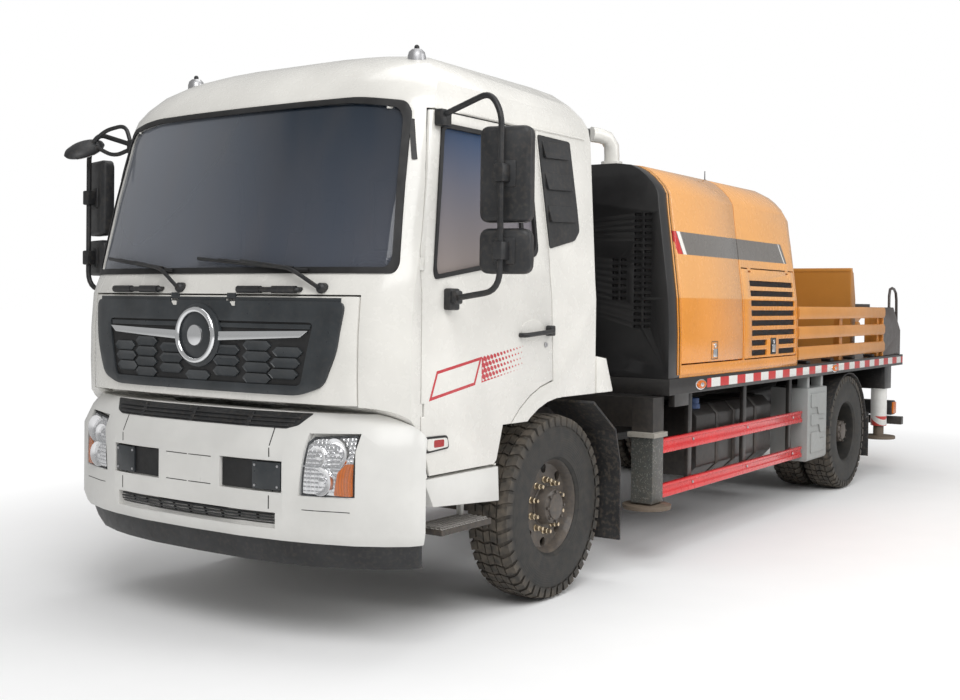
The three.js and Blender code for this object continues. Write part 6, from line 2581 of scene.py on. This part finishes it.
@dataclass
class DeckFittings:
    """Markers and pads along the deck's edges."""

    edge: float = 1.200

    def build(self) -> None:
        """Builds the amber markers and their frames, and the rail pads."""
        for index, (x, z) in enumerate(((-1.690, 1.105), (-4.455, 1.105))):
            frame_ring = Piece.slab(f"marker_frame_{index}", local(ellipse(x, z, 0.080, 0.036, 28)), Axis.Y,
                                    self.edge, self.edge + 0.006)
            lens = Piece.slab(f"marker_{index}", local(ellipse(x, z, 0.070, 0.028, 28)), Axis.Y,
                              self.edge + 0.002, self.edge + 0.015)
            bulb = Piece.slab(f"marker_mirror_{index}", local(ellipse(x, z, 0.028, 0.014, 16)), Axis.Y,
                              self.edge + 0.012, self.edge + 0.0165)
            pair(frame_ring.bevel(0.002, 2, 40), F.CHROME)
            pair(lens.bevel(0.006, 3, 40), F.AMBER_LENS)
            pair(bulb.bevel(0.0015, 2, 40), F.CHROME)
        pads = [Piece.block("rail_pad", at(x - 0.045, 1.08, 1.1602), at(x + 0.045, 1.165, 1.186)).bevel(0.006,
                2, 40)
                for x in (-3.90, -4.50, -5.10, -5.70)]
        pair(pads[0].add(*pads[1:]), F.PLASTIC)


@dataclass
class Tank:
    """A side tank's straps and cap over its plain body."""

    node: str
    side: int
    inner: float
    outer: float
    bottom: float
    top: float
    round: float
    straps: Sequence[float]
    cap: Point

    def build(self) -> None:
        """Builds the straps and the filler cap."""
        i, o, b, t, r = self.inner, self.outer, self.bottom, self.top, self.round
        corners = [(o - r, b), (o, b + r), (o, t - r), (o - r, t), (i + r, t), (i, t - r), (i, b + r),
                   (i + r, b)]
        grown = [(self.side * (y + math.copysign(0.005, y - (i + o) / 2)),
                  z + math.copysign(0.005, z - (b + t) / 2)) for y, z in corners]
        bands = [Piece.slab(f"{self.node}_straps", grown, Axis.X, at(x - 0.024, 0, 0).x,
                            at(x + 0.024, 0, 0).x).bevel(0.0015, 1, 40)
                 for x in self.straps]
        bands[0].add(*bands[1:]).dress(F.CHASSIS, "chassis")
        x, y = self.cap
        profile = [(0.0, t - 0.02), (0.052, t - 0.02), (0.052, t + 0.012), (0.046, t + 0.016),
                   (0.046, t + 0.050), (0.040, t + 0.056), (0.0, t + 0.057)]
        cap = Piece.turned(f"{self.node}_cap", profile, Axis.Z, at(x, self.side * y, 0.0), 14)
        cap.bevel(0.002, 2, 40).dress(F.BLUE_CAP, "chassis", angle=20)


@dataclass
class GreyBox:
    """Pressed panels on the grey box's outer face."""

    face: float = 1.190

    def panel(self, outline: Sequence[Point]) -> Piece:
        """Returns one raised panel with sloping edges."""
        piece = Piece.slab("box_pressing", local(rounded(outline, 0.016)), Axis.Y, self.face - 0.004,
                           self.face + 0.012)
        return piece.bevel(0.003, 1, 40)

    def build(self) -> None:
        """Builds the pressings."""
        high = self.panel([(-4.235, 0.735), (-4.070, 0.735), (-4.040, 0.800), (-3.895, 0.800),
                           (-3.895, 0.915), (-4.235, 0.915)])
        mid = self.panel([(-4.235, 0.580), (-4.120, 0.580), (-4.085, 0.650), (-3.895, 0.650), (-3.895, 0.745),
                          (-4.030, 0.745), (-4.065, 0.690), (-4.235, 0.690)])
        low = self.panel([(-4.235, 0.425), (-3.895, 0.425), (-3.895, 0.595), (-4.060, 0.595), (-4.100, 0.530),
                          (-4.235, 0.530)])
        high.add(mid, low).dress(F.GREY, "chassis")


@dataclass
class Steps:
    """Entry steps: gratings with serrated bars under the sills."""

    def build(self) -> None:
        """Builds the dark grating over each step's plate."""
        low, high = at(0.676, 0.936, 0.518), at(1.094, 1.132, 0.550)
        tray = Piece.block("step_tray", low, high)
        tray.edit(lambda f: f.normal.z > 0.9, lambda: bpy.ops.mesh.inset(thickness=0.010, depth=-0.014))
        tray.bevel(0.002, 2, 40)
        teeth = Piece.block("step_bars", at(0.690, 0.950, 0.534), at(0.700, 1.118, 0.553))
        teeth.row(19, Vector((0.0205, 0, 0)))
        cross = Piece.block("step_cross", at(0.690, 0.958, 0.536), at(1.080, 0.966, 0.556))
        cross.row(6, Vector((0, 0.029, 0)))
        pair(tray, F.CHASSIS)
        pair(teeth.add(cross).bevel(0.001, 1, 40), F.TREADPLATE)


@dataclass
class RearLamps:
    """Lamp clusters on the ends of the rear bar."""

    def build(self) -> None:
        """Builds both clusters."""
        shell = Piece.block("lamp_shell", at(-6.610, 0.770, 0.548), at(-6.475, 1.130, 0.690)).bevel(0.012, 3,
                40)
        pair(shell, F.PLASTIC)
        parts = ((0.780, 0.890, F.CLEAR_GLASS), (0.895, 1.010, F.RED_LENS), (1.015, 1.122, F.AMBER_LENS))
        for index, (y0, y1, finish) in enumerate(parts):
            lens = Piece.block(f"rear_lens_{index}", at(-6.622, y0, 0.558),
                               at(-6.600, y1, 0.680)).bevel(0.007, 3, 40)
            pair(lens, finish)
        side = Piece.slab("rear_side_lens", local(rounded(rectangle(-6.600, -6.485, 0.560, 0.678), 0.012)),
                          Axis.Y, 1.120, 1.142)
        pair(side.bevel(0.006, 3, 40), F.AMBER_LENS)


# ------------------------------------------------------------------ main
def main() -> None:
    """Builds the stage and every piece."""
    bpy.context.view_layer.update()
    Studio().build()
    for kept in kept_pieces():
        kept.build()
    Grille().build()
    Bumper().build()
    Windshield().build()
    CabSide().build()
    Mirror().build()
    CabRoof().build()
    DarkSeams().build()
    CabOpenings().build()
    Seats().build()
    Wheels().build()
    HoodSides().build()
    SideGuards().build()
    DeckFittings().build()
    Tank("fuel_tank", 1, 0.600, 1.060, 0.440, 0.930, 0.070, (-2.292, -2.600, -3.018), (-2.040, 0.985)).build()
    Tank("urea_tank", -1, 0.620, 1.040, 0.470, 0.920, 0.090, (-2.850, -3.200), (-3.020, 0.900)).build()
    GreyBox().build()
    Steps().build()
    RearLamps().build()


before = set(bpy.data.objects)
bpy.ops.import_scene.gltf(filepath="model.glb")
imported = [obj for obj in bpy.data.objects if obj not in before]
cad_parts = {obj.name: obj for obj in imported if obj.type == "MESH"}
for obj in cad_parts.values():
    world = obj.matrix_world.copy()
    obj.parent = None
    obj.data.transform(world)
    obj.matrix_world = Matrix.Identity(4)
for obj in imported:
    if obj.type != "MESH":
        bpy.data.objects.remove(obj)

if __name__ == "__main__":
    main()
